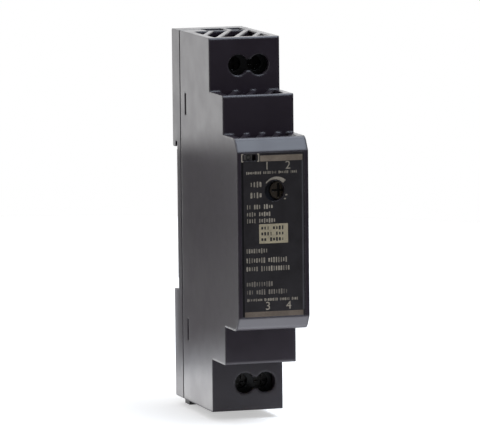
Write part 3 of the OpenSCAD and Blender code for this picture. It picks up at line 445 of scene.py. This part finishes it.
# ---------------------------------------------------------------------------------------------
# Rail latch: a slider moulded in black nylon with a little more shine. It runs in the cover's
# guides, and a screwdriver in the slot of its foot pulls it down to free the rail.
black_nylon = grained("black nylon", (0.012, 0.012, 0.013, 1), 0.3, (0.06, 0.06, 0.065, 1), scale=2500,
                      relief=0.008, wear_and_highlight=0.8)
dress(black_nylon, "din_latch")

# ---------------------------------------------------------------------------------------------
# Latch spring: a compression spring of 0.4 mm steel wire with closed ends. It stands on the
# cover's peg and pushes the latch up, and in the real part it shortens as the latch is pulled
# down; this coil is built at one length and rides on the case.
WIRE_RADIUS = 0.2 * mm
SPRING_TURNS = 9
spring_low, spring_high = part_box("latch_spring")
spring_axis = (spring_low + spring_high) / 2
coil_radius = (spring_high.x - spring_low.x) / 2 - WIRE_RADIUS


def sweep(path, radius, sides=12):
    """A round rod along a path. At each point the tangent and two unit normals carry a circle of
    points, the path plus the radius times the cosine and sine of a turn, and quads join the rings."""
    path = np.asarray(path, float)
    tangent = np.gradient(path, axis=0)
    tangent /= np.linalg.norm(tangent, axis=1, keepdims=True)
    hint = np.eye(3)[np.argmin(np.abs(tangent).max(axis=0))]
    side = np.cross(tangent, hint)
    side /= np.linalg.norm(side, axis=1, keepdims=True)
    other = np.cross(tangent, side)
    turn = np.linspace(0, 2 * np.pi, sides, endpoint=False)[None, :, None]
    rings = path[:, None] + radius * (np.cos(turn) * side[:, None] + np.sin(turn) * other[:, None])
    ring, spoke = np.meshgrid(np.arange(len(path) - 1), np.arange(sides), indexing="ij")
    beside = (spoke + 1) % sides
    quads = np.stack((ring * sides + spoke, ring * sides + beside,
                      (ring + 1) * sides + beside, (ring + 1) * sides + spoke), -1)
    last = (len(path) - 1) * sides
    faces = quads.reshape(-1, 4).tolist() + [list(range(sides))[::-1], list(range(last, last + sides))]
    return rings.reshape(-1, 3), faces


def piece(name, points, faces, material, slot, smooth=True):
    """A new mesh piece with its finish. Its slot argument is not used. It rides on the case."""
    mesh = bpy.data.meshes.new(name)
    mesh.from_pydata(np.asarray(points, float).tolist(), [], faces)
    mesh.polygons.foreach_set("use_smooth", [smooth] * len(mesh.polygons))
    mesh.materials.append(material)
    mesh.update()
    made = bpy.data.objects.new(name, mesh)
    bpy.context.scene.collection.objects.link(made)
    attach(made, "case")
    return made


# The coil goes round at an even rate. It rises one wire a turn over the two end turns, and the
# turns between share the rest of the height.
turns = np.linspace(0, SPRING_TURNS, SPRING_TURNS * 36 + 1)
full_rise = spring_high.z - spring_low.z - 2 * WIRE_RADIUS
end_rise = 2.1 * WIRE_RADIUS
rise = np.interp(turns, [0, 1, SPRING_TURNS - 1, SPRING_TURNS],
                 [0, end_rise, full_rise - end_rise, full_rise])
coil = np.column_stack((spring_axis.x + coil_radius * np.cos(2 * np.pi * turns),
                        spring_axis.y + coil_radius * np.sin(2 * np.pi * turns),
                        spring_low.z + WIRE_RADIUS + rise))
spring_steel = grained("spring steel wire", (0.42, 0.41, 0.4, 1), 0.28, scale=6000, tone=0.1, relief=0.003,
                       edge=0.05, metallic=1.0)
spring = piece("latch_spring_coil", *sweep(coil, WIRE_RADIUS), spring_steel, "spring_steel")
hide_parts("latch_spring")
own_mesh(spring)

# ---------------------------------------------------------------------------------------------
# Front label: a black polyester film, glued in the nose's shallow recess. Screen printing leaves
# thin layers of ink: two bars, a plate, rows of plain strokes and the terminals' numbers; the upper
# bar's paler tan is painted reflection. A matte black line down the left edge is painted shade of
# the recess's wall, and a grey line down the right edge is painted highlight on the recess's other
# wall. No words of the real label are on it.
INK = 0.02 * mm
POLE_PITCH = 5.15
BAR_HEIGHT = 1.4
# The x of the painted highlight line down the right edge, and the x and foot of the painted shade line down
# the left edge, in millimetres.
HIGHLIGHT_LINE_X, SHADE_LINE_X, SHADE_LINE_FOOT = 7.3, -7.45, -19.2
RATINGS_LEFT, INPUTS_LEFT, INDENT_LEFT, SMALL_LEFT = -6.3, -6.5, -5.3, -6.4
label = nodes["front_label"]
label_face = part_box("front_label")[0].y
label_film = grained("black label film", (0.0128, 0.0108, 0.0122, 1), 0.4, (0.05, 0.05, 0.05, 1),
                     scale=7000, tone=0.18, relief=0.003, edge=0.08, wear_and_highlight=0.3)
dress(label_film, "front_label")
bpy.context.view_layer.update()


def printing_ink(name, colour, roughness, tone, specular=0.5):
    """A printed ink: a fine finish with sharp edges, dense or thin by its tone."""
    return grained(name, (*colour, 1), roughness, scale=5000, tone=tone, relief=0.002, edge=0.01,
                   specular=specular)


# The two bars are one brown print: the upper bar's paler tan is painted reflection.
reflection_tan_ink = printing_ink("tan ink, painted reflection", (0.145, 0.115, 0.088), 0.45, 0.3)
brown_ink = printing_ink("brown ink", (0.094, 0.072, 0.055), 0.45, 0.3)
dim_ink = printing_ink("dim cream ink", (0.12, 0.105, 0.088), 0.5, 0.35)
# Painted highlight for the line down the label's right edge.
highlight_grey_ink = printing_ink("grey ink, painted highlight", (0.038, 0.037, 0.042), 0.45, 0.2)
cream_ink = printing_ink("cream ink", (0.25, 0.215, 0.145), 0.5, 0.25)
faint_ink = printing_ink("faint cream ink", (0.21, 0.185, 0.15), 0.5, 0.35)
# Painted shade for the line down the label's left edge.
shade_black_ink = printing_ink("matte black ink, painted shade", (0.004, 0.0035, 0.004), 0.7, 0.12, specular=0.15)


def rounded_bar(width, height, radius, steps=4):
    """Outline of a bar with round corners, in millimetres: each corner's centre plus the radius
    times the cosine and sine of a quarter turn."""
    corner = np.repeat(np.arange(4), steps + 1)
    angle = np.tile(np.linspace(0, np.pi / 2, steps + 1), 4) + corner * np.pi / 2
    signs = np.array([(1, 1), (-1, 1), (-1, -1), (1, -1)])[corner]
    middle = signs * (width / 2 - radius, height / 2 - radius)
    return (middle + radius * np.column_stack((np.cos(angle), np.sin(angle)))) * mm


def growing_arc(radius, widths, start, stop, steps=40):
    """Outline of a curved stroke, in millimetres and degrees: an outer arc, whose radius is the inner
    one plus a width that changes evenly from end to end, then the inner arc back."""
    angle = np.radians(np.linspace(start, stop, steps))
    ray = np.column_stack((np.cos(angle), np.sin(angle))) * mm
    return np.vstack((ray * (radius + np.linspace(*widths, steps))[:, None], ray[::-1] * radius))


def prisms(outlines, under):
    """Closed flat pieces of ink. Each outline, in x and z and counter-clockwise, is a ring at the
    ink's front and a ring at its foot, joined by quads and closed by two caps."""
    points, faces, base = [], [], 0
    for outline in outlines:
        count = len(outline)
        for y in (under - INK, under):
            points.append(np.column_stack((outline[:, 0], np.full(count, y), outline[:, 1])))
        this = np.arange(count)
        after = np.roll(this, -1)
        faces += [(base + this).tolist(), (base + count + this)[::-1].tolist()]
        faces += (base + np.column_stack((this, this + count, after + count, after))).tolist()
        base += 2 * count
    return np.vstack(points), faces


def printed(name, outlines, ink, under=label_face):
    """Print from outlines in x and z, on the label's face or on the ink under it."""
    return piece(name, *prisms(outlines, under), ink, "label_film", smooth=False)


def at(spot, across=0.0, rise=0.0):
    """The x and z of a spot, moved across and up by millimetres."""
    return np.array((spot.x + across * mm, spot.z + rise * mm))


upper_bar_spot = place_on(label, "upper bar")
lower_bar_spot = place_on(label, "lower bar")
# Its paler tan is painted reflection.
upper_bar = printed("label_upper_bar", [at(upper_bar_spot) + rounded_bar(10.4, BAR_HEIGHT, 0.15)],
                    reflection_tan_ink)
lower_bar = printed("label_lower_bar", [at(lower_bar_spot) + rounded_bar(14.4, BAR_HEIGHT, 0.15)],
                    brown_ink)
plate_spot = place_on(label, "plate")
plate = printed("label_plate", [at(plate_spot) + rounded_bar(7.1, 4.6, 0.12)], cream_ink)
edge_lines_top = upper_bar_spot.z / mm - BAR_HEIGHT / 2 - 0.1
edge_lines_foot = lower_bar_spot.z / mm + BAR_HEIGHT / 2 + 0.1
# Painted shade: a matte black line down the label's left edge, where the recess's wall shades the film.
printed("label_painted_shade", [np.array((SHADE_LINE_X, (edge_lines_top + SHADE_LINE_FOOT) / 2)) * mm
                         + rounded_bar(0.46, edge_lines_top - SHADE_LINE_FOOT, 0.1)], shade_black_ink)
# Painted highlight: a grey line down the label's right edge, where the recess's wall catches the light.
printed("label_painted_highlight", [np.array((HIGHLIGHT_LINE_X, (edge_lines_top + edge_lines_foot) / 2)) * mm
                         + rounded_bar(0.36, edge_lines_top - edge_lines_foot, 0.1)], highlight_grey_ink)

chance = np.random.default_rng(7)


def strokes(left, height, groups, pitch=0.6):
    """A row of plain upright strokes in groups, such as small print looks from afar. Each group has
    so many strokes, and each stroke has one of three lengths and one of three widths."""
    places = np.concatenate([np.full(count, number) for number, count in enumerate(groups)])
    across = (np.arange(len(places)) + places) * pitch
    lengths = chance.choice((0.7, 0.85, 1.0), len(places)) * height
    widths = chance.choice((0.3, 0.48, 0.64), len(places)) * pitch
    return [left + np.array((x, 0)) * mm + rounded_bar(width, length, 0.3 * width, 2)
            for x, width, length in zip(across, widths, lengths)]


rating_spot = place_on(label, "first rating row")
input_spot = place_on(label, "first input row")
rows = []
for drop, groups in ((0.0, (2, 3, 4)), (1.75, (4, 5)), (3.3, (4, 7))):
    rows += strokes(np.array((RATINGS_LEFT * mm, rating_spot.z - drop * mm)), 1.1, groups)
for drop, groups in ((0.0, (9,)), (2.25, (8, 8)), (4.25, (5, 12))):
    rows += strokes(np.array((INPUTS_LEFT * mm, input_spot.z - drop * mm)), 1.3, groups)
dim_rows = []
for drop, groups in ((7.9, (11,)), (9.8, (3, 4, 8))):
    dim_rows += strokes(np.array((INPUTS_LEFT * mm, input_spot.z - drop * mm)), 1.3, groups)
printed("label_dim_rows", dim_rows, dim_ink)
for rise in (2.75, 5.3):
    rows += strokes(np.array((INDENT_LEFT * mm, rating_spot.z + rise * mm)), 1.4, (4,), 0.75)
row_print = printed("label_rows", rows, faint_ink)
small_rows = []
for z in (rating_spot.z + 8.05 * mm, input_spot.z - 11.65 * mm):
    small_rows += strokes(np.array((SMALL_LEFT * mm, z)), 0.7, (9, 8, 6, 4), 0.42)
printed("label_small_rows", small_rows, faint_ink)
plate_rows = []
for rise, groups in ((1.35, (3, 4)), (0.0, (4, 3)), (-1.35, (2, 5))):
    plate_rows += strokes(at(plate_spot, -2.8, rise), 0.95, groups, 0.72)
printed("label_plate_rows", plate_rows, label_film, label_face - INK)

# A digit's height as a share of its font size.
DIGIT_SHARE = 0.7


def number_shape(text, middle, height):
    """A plain number as a closed mesh: a flat text outline is given the ink's depth and made a mesh,
    then stood up to face -Y with its own x as x and its own y as z."""
    curve = bpy.data.curves.new("number", "FONT")
    curve.body = text
    curve.size = height / DIGIT_SHARE
    curve.align_x = curve.align_y = "CENTER"
    curve.extrude = INK / 2
    holder = bpy.data.objects.new("number", curve)
    bpy.context.scene.collection.objects.link(holder)
    shown = holder.evaluated_get(bpy.context.evaluated_depsgraph_get())
    shape = bpy.data.meshes.new_from_object(shown)
    points = np.empty(len(shape.vertices) * 3, np.float32)
    shape.vertices.foreach_get("co", points)
    x, y, z = points.reshape(-1, 3).T
    faces = [list(face.vertices) for face in shape.polygons]
    bpy.data.objects.remove(holder)
    bpy.data.meshes.remove(shape)
    return np.column_stack((x + middle[0], label_face - INK / 2 - z, y + middle[1])), faces


def numbers(name, spot, texts):
    """A pair of numbers, one over each pole of a terminal."""
    points, faces = [], []
    for place, text in enumerate(texts):
        more_points, more_faces = number_shape(text, at(spot, place * POLE_PITCH), 1.9 * mm)
        base = sum(map(len, points))
        points.append(more_points)
        faces += [[base + corner for corner in face] for face in more_faces]
    return piece(name, np.vstack(points), faces, faint_ink, "label_film", smooth=False)


output_numbers = numbers("label_output_numbers", place_on(label, "first number"), "12")
input_numbers = numbers("label_input_numbers", place_on(label, "third number"), "34")

# ---------------------------------------------------------------------------------------------
# Output adjuster: a trimming potentiometer behind a round hole, seen a little off the hole's axis.
# Its case is dark blue plastic and its rotor a brown disc, whose cross slot is painted dark as
# shade: the rotor goes dark where it lies deeper than its face. A printed arc and two ticks show its
# travel.


def opening(points, spot, reach):
    """The middle, in x and z, of the vertices within some millimetres of a spot, such as a hole's rim."""
    near = points[np.hypot(points[:, 0] - spot.x, points[:, 2] - spot.z) < reach * mm]
    return (near.min(axis=0) + near.max(axis=0))[[0, 2]] / 2


dial_hole = opening(finished(label), place_on(label, "adjuster"), 5.2)
ticks = [dial_hole + np.array(spot) * mm + rounded_bar(0.5, 0.3, 0.1)
         for spot in ((2.85, -1.0), (2.5, -1.9))]
printed("label_dial_arc", [dial_hole + growing_arc(2.75, (1.0, 0.2), 42, 138)] + ticks, faint_ink)
# Leads are bare where x is less than this, in millimetres: from just over the board's face down.
LEADS_BELOW = -4.6
TIN = (0.6, 0.59, 0.57, 1)


def opened(material):
    """The node tree of a finish, its shader and the socket that gives its colour."""
    shader = material.node_tree.nodes["Principled BSDF"]
    return material.node_tree, shader, shader.inputs["Base Color"].links[0].from_socket


def soldered(name, colour, roughness, **more):
    """The finish of a part with leads: its body, and below the board's face tinned wire."""
    material = grained(name, colour, roughness, **more)
    tree, shader, body = opened(material)
    across = add(tree, "ShaderNodeSeparateXYZ", {0: object_place(tree)}).outputs["X"]
    lead = maths(tree, "LESS_THAN", across, LEADS_BELOW * mm)
    tree.links.new(blend_colours(tree, lead, body, TIN), shader.inputs["Base Color"])
    tree.links.new(lead, shader.inputs["Metallic"])
    return material


dress(soldered("dark blue pot case", (0.006, 0.008, 0.016, 1), 0.45, relief=0.004, edge=0.2),
      "trim_pot_body")
rotor = grained("brown pot rotor", (0.038, 0.027, 0.016, 1), 0.45, relief=0.004, edge=0.12)
tree, shader, body = opened(rotor)
inward = add(tree, "ShaderNodeSeparateXYZ", {0: object_place(tree)}).outputs["Y"]
rotor_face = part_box("trim_pot_rotor")[0].y
# Painted shade: from 0.1 to 0.3 mm behind the rotor's face, in the cross slot, the colour goes dark.
painted_slot_shade = spread(tree, inward, 0.0, 1.0, rotor_face + 0.1 * mm, rotor_face + 0.3 * mm)
tree.links.new(blend_colours(tree, painted_slot_shade, body, (0.006, 0.005, 0.004, 1)), shader.inputs["Base Color"])
dress(rotor, "trim_pot_rotor")

# ---------------------------------------------------------------------------------------------
# Output lamp: a smoke-tinted plastic lens over the board's front edge, on two leads in the board. It
# shows at the window in the label's corner, unlit, between two printed brackets.
ray = line_of_sight(*POINTS["lamp window"])
eye = camera.matrix_world.translation
lamp_spot = eye + ray * ((label_face - eye.y) / ray.y)
bracket = np.array(((-2.2, -0.96), (-1.7, -0.96), (-1.7, -0.74), (-1.96, -0.74),
                    (-1.96, 0.74), (-1.7, 0.74), (-1.7, 0.96), (-2.2, 0.96))) * mm
lamp_brackets = printed("label_lamp_brackets",
                        [at(lamp_spot) + bracket, at(lamp_spot) + bracket[::-1] * (-1, 1)], faint_ink)
dress(soldered("smoke-tinted lens", (0.006, 0.006, 0.005, 1), 0.4, relief=0.002, edge=0.15), "status_led")

# ---------------------------------------------------------------------------------------------
# Terminals: two blocks in black glass-filled nylon, each with two brass contact bars, two
# nickel-plated clamping cages and two dark-plated screws with crossed slots, deep in their guides.
terminal_nylon = grained("black terminal nylon", (0.008, 0.008, 0.0085, 1), 0.45, scale=3000, relief=0.01,
                         specular=0.3)
dress(terminal_nylon, "output_terminal_body", "input_terminal_body")
brass = grained("contact brass", (0.72, 0.56, 0.3, 1), 0.25, scale=5000, stretch=(1, 1, 0.08), tone=0.08,
                relief=0.003, edge=0.1, metallic=1.0)
dress(brass, "output_contacts", "input_contacts")
dark_plating = grained("dark-plated screw steel", (0.024, 0.023, 0.022, 1), 0.4, (0.3, 0.29, 0.28, 1),
                       scale=4500, relief=0.005, edge=0.1, metallic=1.0)
nickel = grained("nickel-plated cage steel", (0.5, 0.49, 0.46, 1), 0.34, scale=5000, stretch=(0.1, 1, 1),
                 relief=0.005, edge=0.15, metallic=1.0)
for pole in ("output_%s_left", "output_%s_right", "input_%s_left", "input_%s_right"):
    dress(dark_plating, pole % "screw")
    dress(nickel, pole % "cage")

# ---------------------------------------------------------------------------------------------
# Circuit board: glass laminate with copper on both faces under green solder mask, cut to the
# case's stepped outline. Small chip parts, pale and dark, are soldered flat on its face.
OVER_COPPER = (0.03, 0.17, 0.06, 1)
CUT_LAMINATE = (0.3, 0.27, 0.13, 1)


def cell_distance(tree, feature):
    """The distance, across plus along, to the nearest point of a scatter (F1) or to the next (F2)."""
    return add(tree, "ShaderNodeTexVoronoi", {"Vector": object_place(tree), "Scale": 190.0},
               distance="MANHATTAN", feature=feature).outputs["Distance"]


def emboss(tree, height, depth):
    """Gives a finish a height as its relief, with a depth in millimetres."""
    bump = next(node for node in tree.nodes if node.bl_idname == "ShaderNodeBump")
    tree.links.new(height, bump.inputs["Height"])
    bump.inputs["Distance"].default_value = depth * mm


board = grained("green solder mask", (0.012, 0.085, 0.035, 1), 0.28, scale=1500, tone=0.15, relief=0.002,
                edge=0.05)
tree, shader, body = opened(board)
gap = maths(tree, "SUBTRACT", cell_distance(tree, "F2"), cell_distance(tree, "F1"))
copper = spread(tree, gap, 0.0, 1.0, 0.1, 0.16)
normal = add(tree, "ShaderNodeNewGeometry").outputs["Normal"]
facing = add(tree, "ShaderNodeSeparateXYZ", {0: normal}).outputs["X"]
rim = spread(tree, maths(tree, "ABSOLUTE", facing), 1.0, 0.0, 0.4, 0.6)
over_copper = blend_colours(tree, copper, body, OVER_COPPER)
tree.links.new(blend_colours(tree, rim, over_copper, CUT_LAMINATE), shader.inputs["Base Color"])
emboss(tree, copper, 0.03)
dress(board, "main_pcb")

chips = grained("chip ceramic", (0.4, 0.33, 0.24, 1), 0.45, scale=6000, relief=0.003, edge=0.08)
tree, shader, pale = opened(chips)
which = maths(tree, "GREATER_THAN", add(tree, "ShaderNodeNewGeometry").outputs["Random Per Island"], 0.45)
tree.links.new(blend_colours(tree, which, pale, (0.015, 0.015, 0.016, 1)), shader.inputs["Base Color"])
dress(chips, "chip_parts")

# ---------------------------------------------------------------------------------------------
# Mains side: a round brown fuse, a dipped inrush limiter, a boxed film capacitor, a choke with two
# windings on a ferrite core, and the bridge rectifier. All stand on leads in the board.
dress(soldered("brown fuse case", (0.1, 0.035, 0.02, 1), 0.3, relief=0.004), "fuse")
dress(soldered("olive dipped coat", (0.035, 0.05, 0.025, 1), 0.28, scale=1200, relief=0.04, coat=0.3),
      "ntc_thermistor")
dress(soldered("yellow film capacitor case", (0.62, 0.38, 0.04, 1), 0.35, relief=0.004, edge=0.25),
      "x_capacitor")
ferrite = grained("ferrite", (0.028, 0.027, 0.029, 1), 0.55, (0.07, 0.068, 0.07, 1), scale=3500, tone=0.25,
                  relief=0.02, edge=0.2, wear_and_highlight=0.9)
dress(ferrite, "choke_core", "transformer_core")


def wound(name, colour, roughness, across, pitch, relief, metallic=0.0):
    """A finish with turns side by side: the grained finish, and a wave along one axis as its relief
    and as the shade between the turns."""
    material = grained(name, colour, roughness, scale=3000, edge=0.1, metallic=metallic)
    tree, shader, body = opened(material)
    wave = add(tree, "ShaderNodeTexWave",
               {"Vector": object_place(tree), "Scale": math.pi / (10 * pitch * mm), "Distortion": 0.4,
                "Detail": 1.0}, bands_direction=across).outputs[1]
    shaded = dimmed(tree, body, spread(tree, wave, 0.3, 1.0, 0.0, 0.5))
    tree.links.new(shaded, shader.inputs["Base Color"])
    emboss(tree, wave, relief)
    return material


dress(wound("enamelled copper", (0.5, 0.17, 0.05, 1), 0.28, "Y", 0.45, 0.12, 1.0), "choke_windings")
moulding = soldered("black moulding compound", (0.016, 0.016, 0.017, 1), 0.5, scale=3000, relief=0.012,
                    edge=0.15)
dress(moulding, "bridge_rectifier", "switching_ic", "shunt_regulator", "rectifier_diode")


BARE_ALUMINIUM = (0.62, 0.62, 0.62, 1)


def sleeved_can(name, sleeve, stripe, centre, radius, axis, towards):
    """The finish of an electrolytic capacitor in its sleeve. The stripe is where the surface faces
    one way. Bare aluminium shows on the end that looks along the axis, inside the sleeve's lip: the
    distance off the axis is the root of the squared way from the centre less its squared run along."""
    material = soldered(name, sleeve, 0.25, scale=2500, relief=0.004, edge=0.2, coat=0.4)
    tree, shader, body = opened(material)
    lead = shader.inputs["Metallic"].links[0].from_socket
    normal = add(tree, "ShaderNodeNewGeometry").outputs["Normal"]
    away = add(tree, "ShaderNodeVectorMath", {0: object_place(tree), 1: centre},
               operation="SUBTRACT").outputs[0]
    along = maths(tree, "POWER", dot(tree, away, axis), 2.0)
    off_axis = maths(tree, "SQRT", maths(tree, "SUBTRACT", dot(tree, away, away), along))
    faces_end = maths(tree, "GREATER_THAN", dot(tree, normal, axis), 0.8)
    end = maths(tree, "MULTIPLY", faces_end, maths(tree, "LESS_THAN", off_axis, radius))
    faces_stripe = spread(tree, dot(tree, normal, towards), 0.0, 1.0, 0.9, 0.91)
    striped = blend_colours(tree, faces_stripe, body, stripe)
    tree.links.new(blend_colours(tree, end, striped, BARE_ALUMINIUM), shader.inputs["Base Color"])
    tree.links.new(maths(tree, "MAXIMUM", end, lead), shader.inputs["Metallic"])
    return material


for node in ("bulk_capacitor_1", "bulk_capacitor_2"):
    low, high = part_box(node)
    middle = (high.x - (high.y - low.y) / 2, (low.y + high.y) / 2, 0)
    dress(sleeved_can("dark blue sleeve, " + node, (0.012, 0.02, 0.07, 1), (0.35, 0.36, 0.4, 1), middle,
                      (high.y - low.y) / 2 - 0.7 * mm, (0, 0, 1), (1, 0, 0)), node)

# ---------------------------------------------------------------------------------------------
# Converter: the switching circuit in its moulded case, the transformer with its core, bobbin and
# taped windings, the blue dipped capacitor across it, and the optocoupler that feeds back.
dress(soldered("black bobbin plastic", (0.014, 0.014, 0.015, 1), 0.42, relief=0.008), "transformer_bobbin")
dress(wound("yellow winding tape", (0.72, 0.44, 0.03, 1), 0.3, "Z", 4.2, 0.02), "transformer_winding")
dress(soldered("blue dipped coat", (0.02, 0.09, 0.32, 1), 0.22, scale=1200, relief=0.04, coat=0.4),
      "y_capacitor")
dress(soldered("off-white moulding compound", (0.6, 0.59, 0.54, 1), 0.45, scale=3000, relief=0.01,
               edge=0.15), "optocoupler")

# ---------------------------------------------------------------------------------------------
# Output side: the rectifier diode on its aluminium sink, the drum inductor in ferrite with its
# copper under a sleeve, and two sleeved capacitors.
sink = grained("sink aluminium", (0.66, 0.66, 0.67, 1), 0.32, scale=6000, stretch=(0.06, 1, 1),
               relief=0.006, edge=0.15, metallic=1.0)
dress(sink, "diode_heat_sink")
dress(soldered("ferrite drum", (0.03, 0.029, 0.031, 1), 0.5, scale=3500, tone=0.25, relief=0.02, edge=0.2),
      "output_inductor")
for node in ("output_capacitor_1", "output_capacitor_2"):
    low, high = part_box(node)
    middle = (0, (low.y + high.y) / 2, (low.z + high.z) / 2)
    dress(sleeved_can("black sleeve, " + node, (0.014, 0.014, 0.018, 1), (0.5, 0.42, 0.2, 1), middle,
                      (high.y - low.y) / 2 - 0.6 * mm, (1, 0, 0), (0, -1, 0)), node)

# ---------------------------------------------------------------------------------------------
# Where the named points show in the finished picture, in pixels from the photograph's points.
bpy.context.view_layer.update()
housing = finished(nodes["front_housing"])
outline = pixels(np.vstack((housing, finished(nodes["rear_cover"]))))


def shown_middle(points):
    """The middle of what shows of some points: half-way between their ends across and upright."""
    seen = pixels(points)
    return (seen.min(axis=0) + seen.max(axis=0)) / 2


def corner(side, low, high):
    """A corner of the foremost face between two heights, in millimetres: of its vertices, the one
    furthest to the side (-1 or 1) and towards the height named first."""
    band = housing[(housing[:, 2] > min(low, high) * mm) & (housing[:, 2] < max(low, high) * mm)]
    face = band[band[:, 1] < band[:, 1].min() + 0.05 * mm]
    return pixels(face[np.argmax(side * face[:, 0] + math.copysign(1, low - high) * face[:, 2])])[0]


def row_middle(spot):
    """The middle of what shows of the row of strokes at a spot's height."""
    return shown_middle(row_points[np.abs(row_points[:, 2] - spot.z) < 0.7 * mm])


def number_middle(points, spot):
    """The middle of what shows of the number within two millimetres of a spot."""
    return shown_middle(points[np.abs(points[:, 0] - spot.x) < 2 * mm])


def screw_opening(node):
    """The middle of the rim of the opening over a screw: the block's foremost vertices near it."""
    low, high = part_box(node)
    spot = (low + high) / 2
    near = housing[np.hypot(housing[:, 0] - spot.x, housing[:, 2] - spot.z) < 2.6 * mm]
    return shown_middle(near[near[:, 1] < near[:, 1].min() + 0.05 * mm])


row_points = finished(row_print)
case_top = cad_box[1].z / mm
shows = {
    "left side": (outline[:, 0].min(), None),
    "right side": (outline[:, 0].max(), None),
    "top": (None, outline[:, 1].min()),
    "bottom": (None, outline[:, 1].max()),
    "upper block corner": corner(-1, case_top + 1, 34),
    "upper shoulder corner": corner(-1, 32.5, 24),
    "nose upper corner": corner(-1, 20, 10),
    "nose lower corner": corner(1, -20, -10),
    "lower block corner": corner(1, -case_top - 1, -34),
    "left output screw": screw_opening("output_screw_left"),
    "right input screw": screw_opening("input_screw_right"),
    "lamp window": shown_middle(finished(lamp_brackets)),
    "adjuster": pixels((dial_hole[0], label_face, dial_hole[1]))[0],
    "upper bar": shown_middle(finished(upper_bar)),
    "lower bar": shown_middle(finished(lower_bar)),
    "plate": shown_middle(finished(plate)),
    "first number": number_middle(finished(output_numbers), place_on(label, "first number")),
    "third number": number_middle(finished(input_numbers), place_on(label, "third number")),
    "first rating row": row_middle(rating_spot),
    "first input row": row_middle(input_spot),
}

bpy.context.scene.view_settings.view_transform = "Standard"
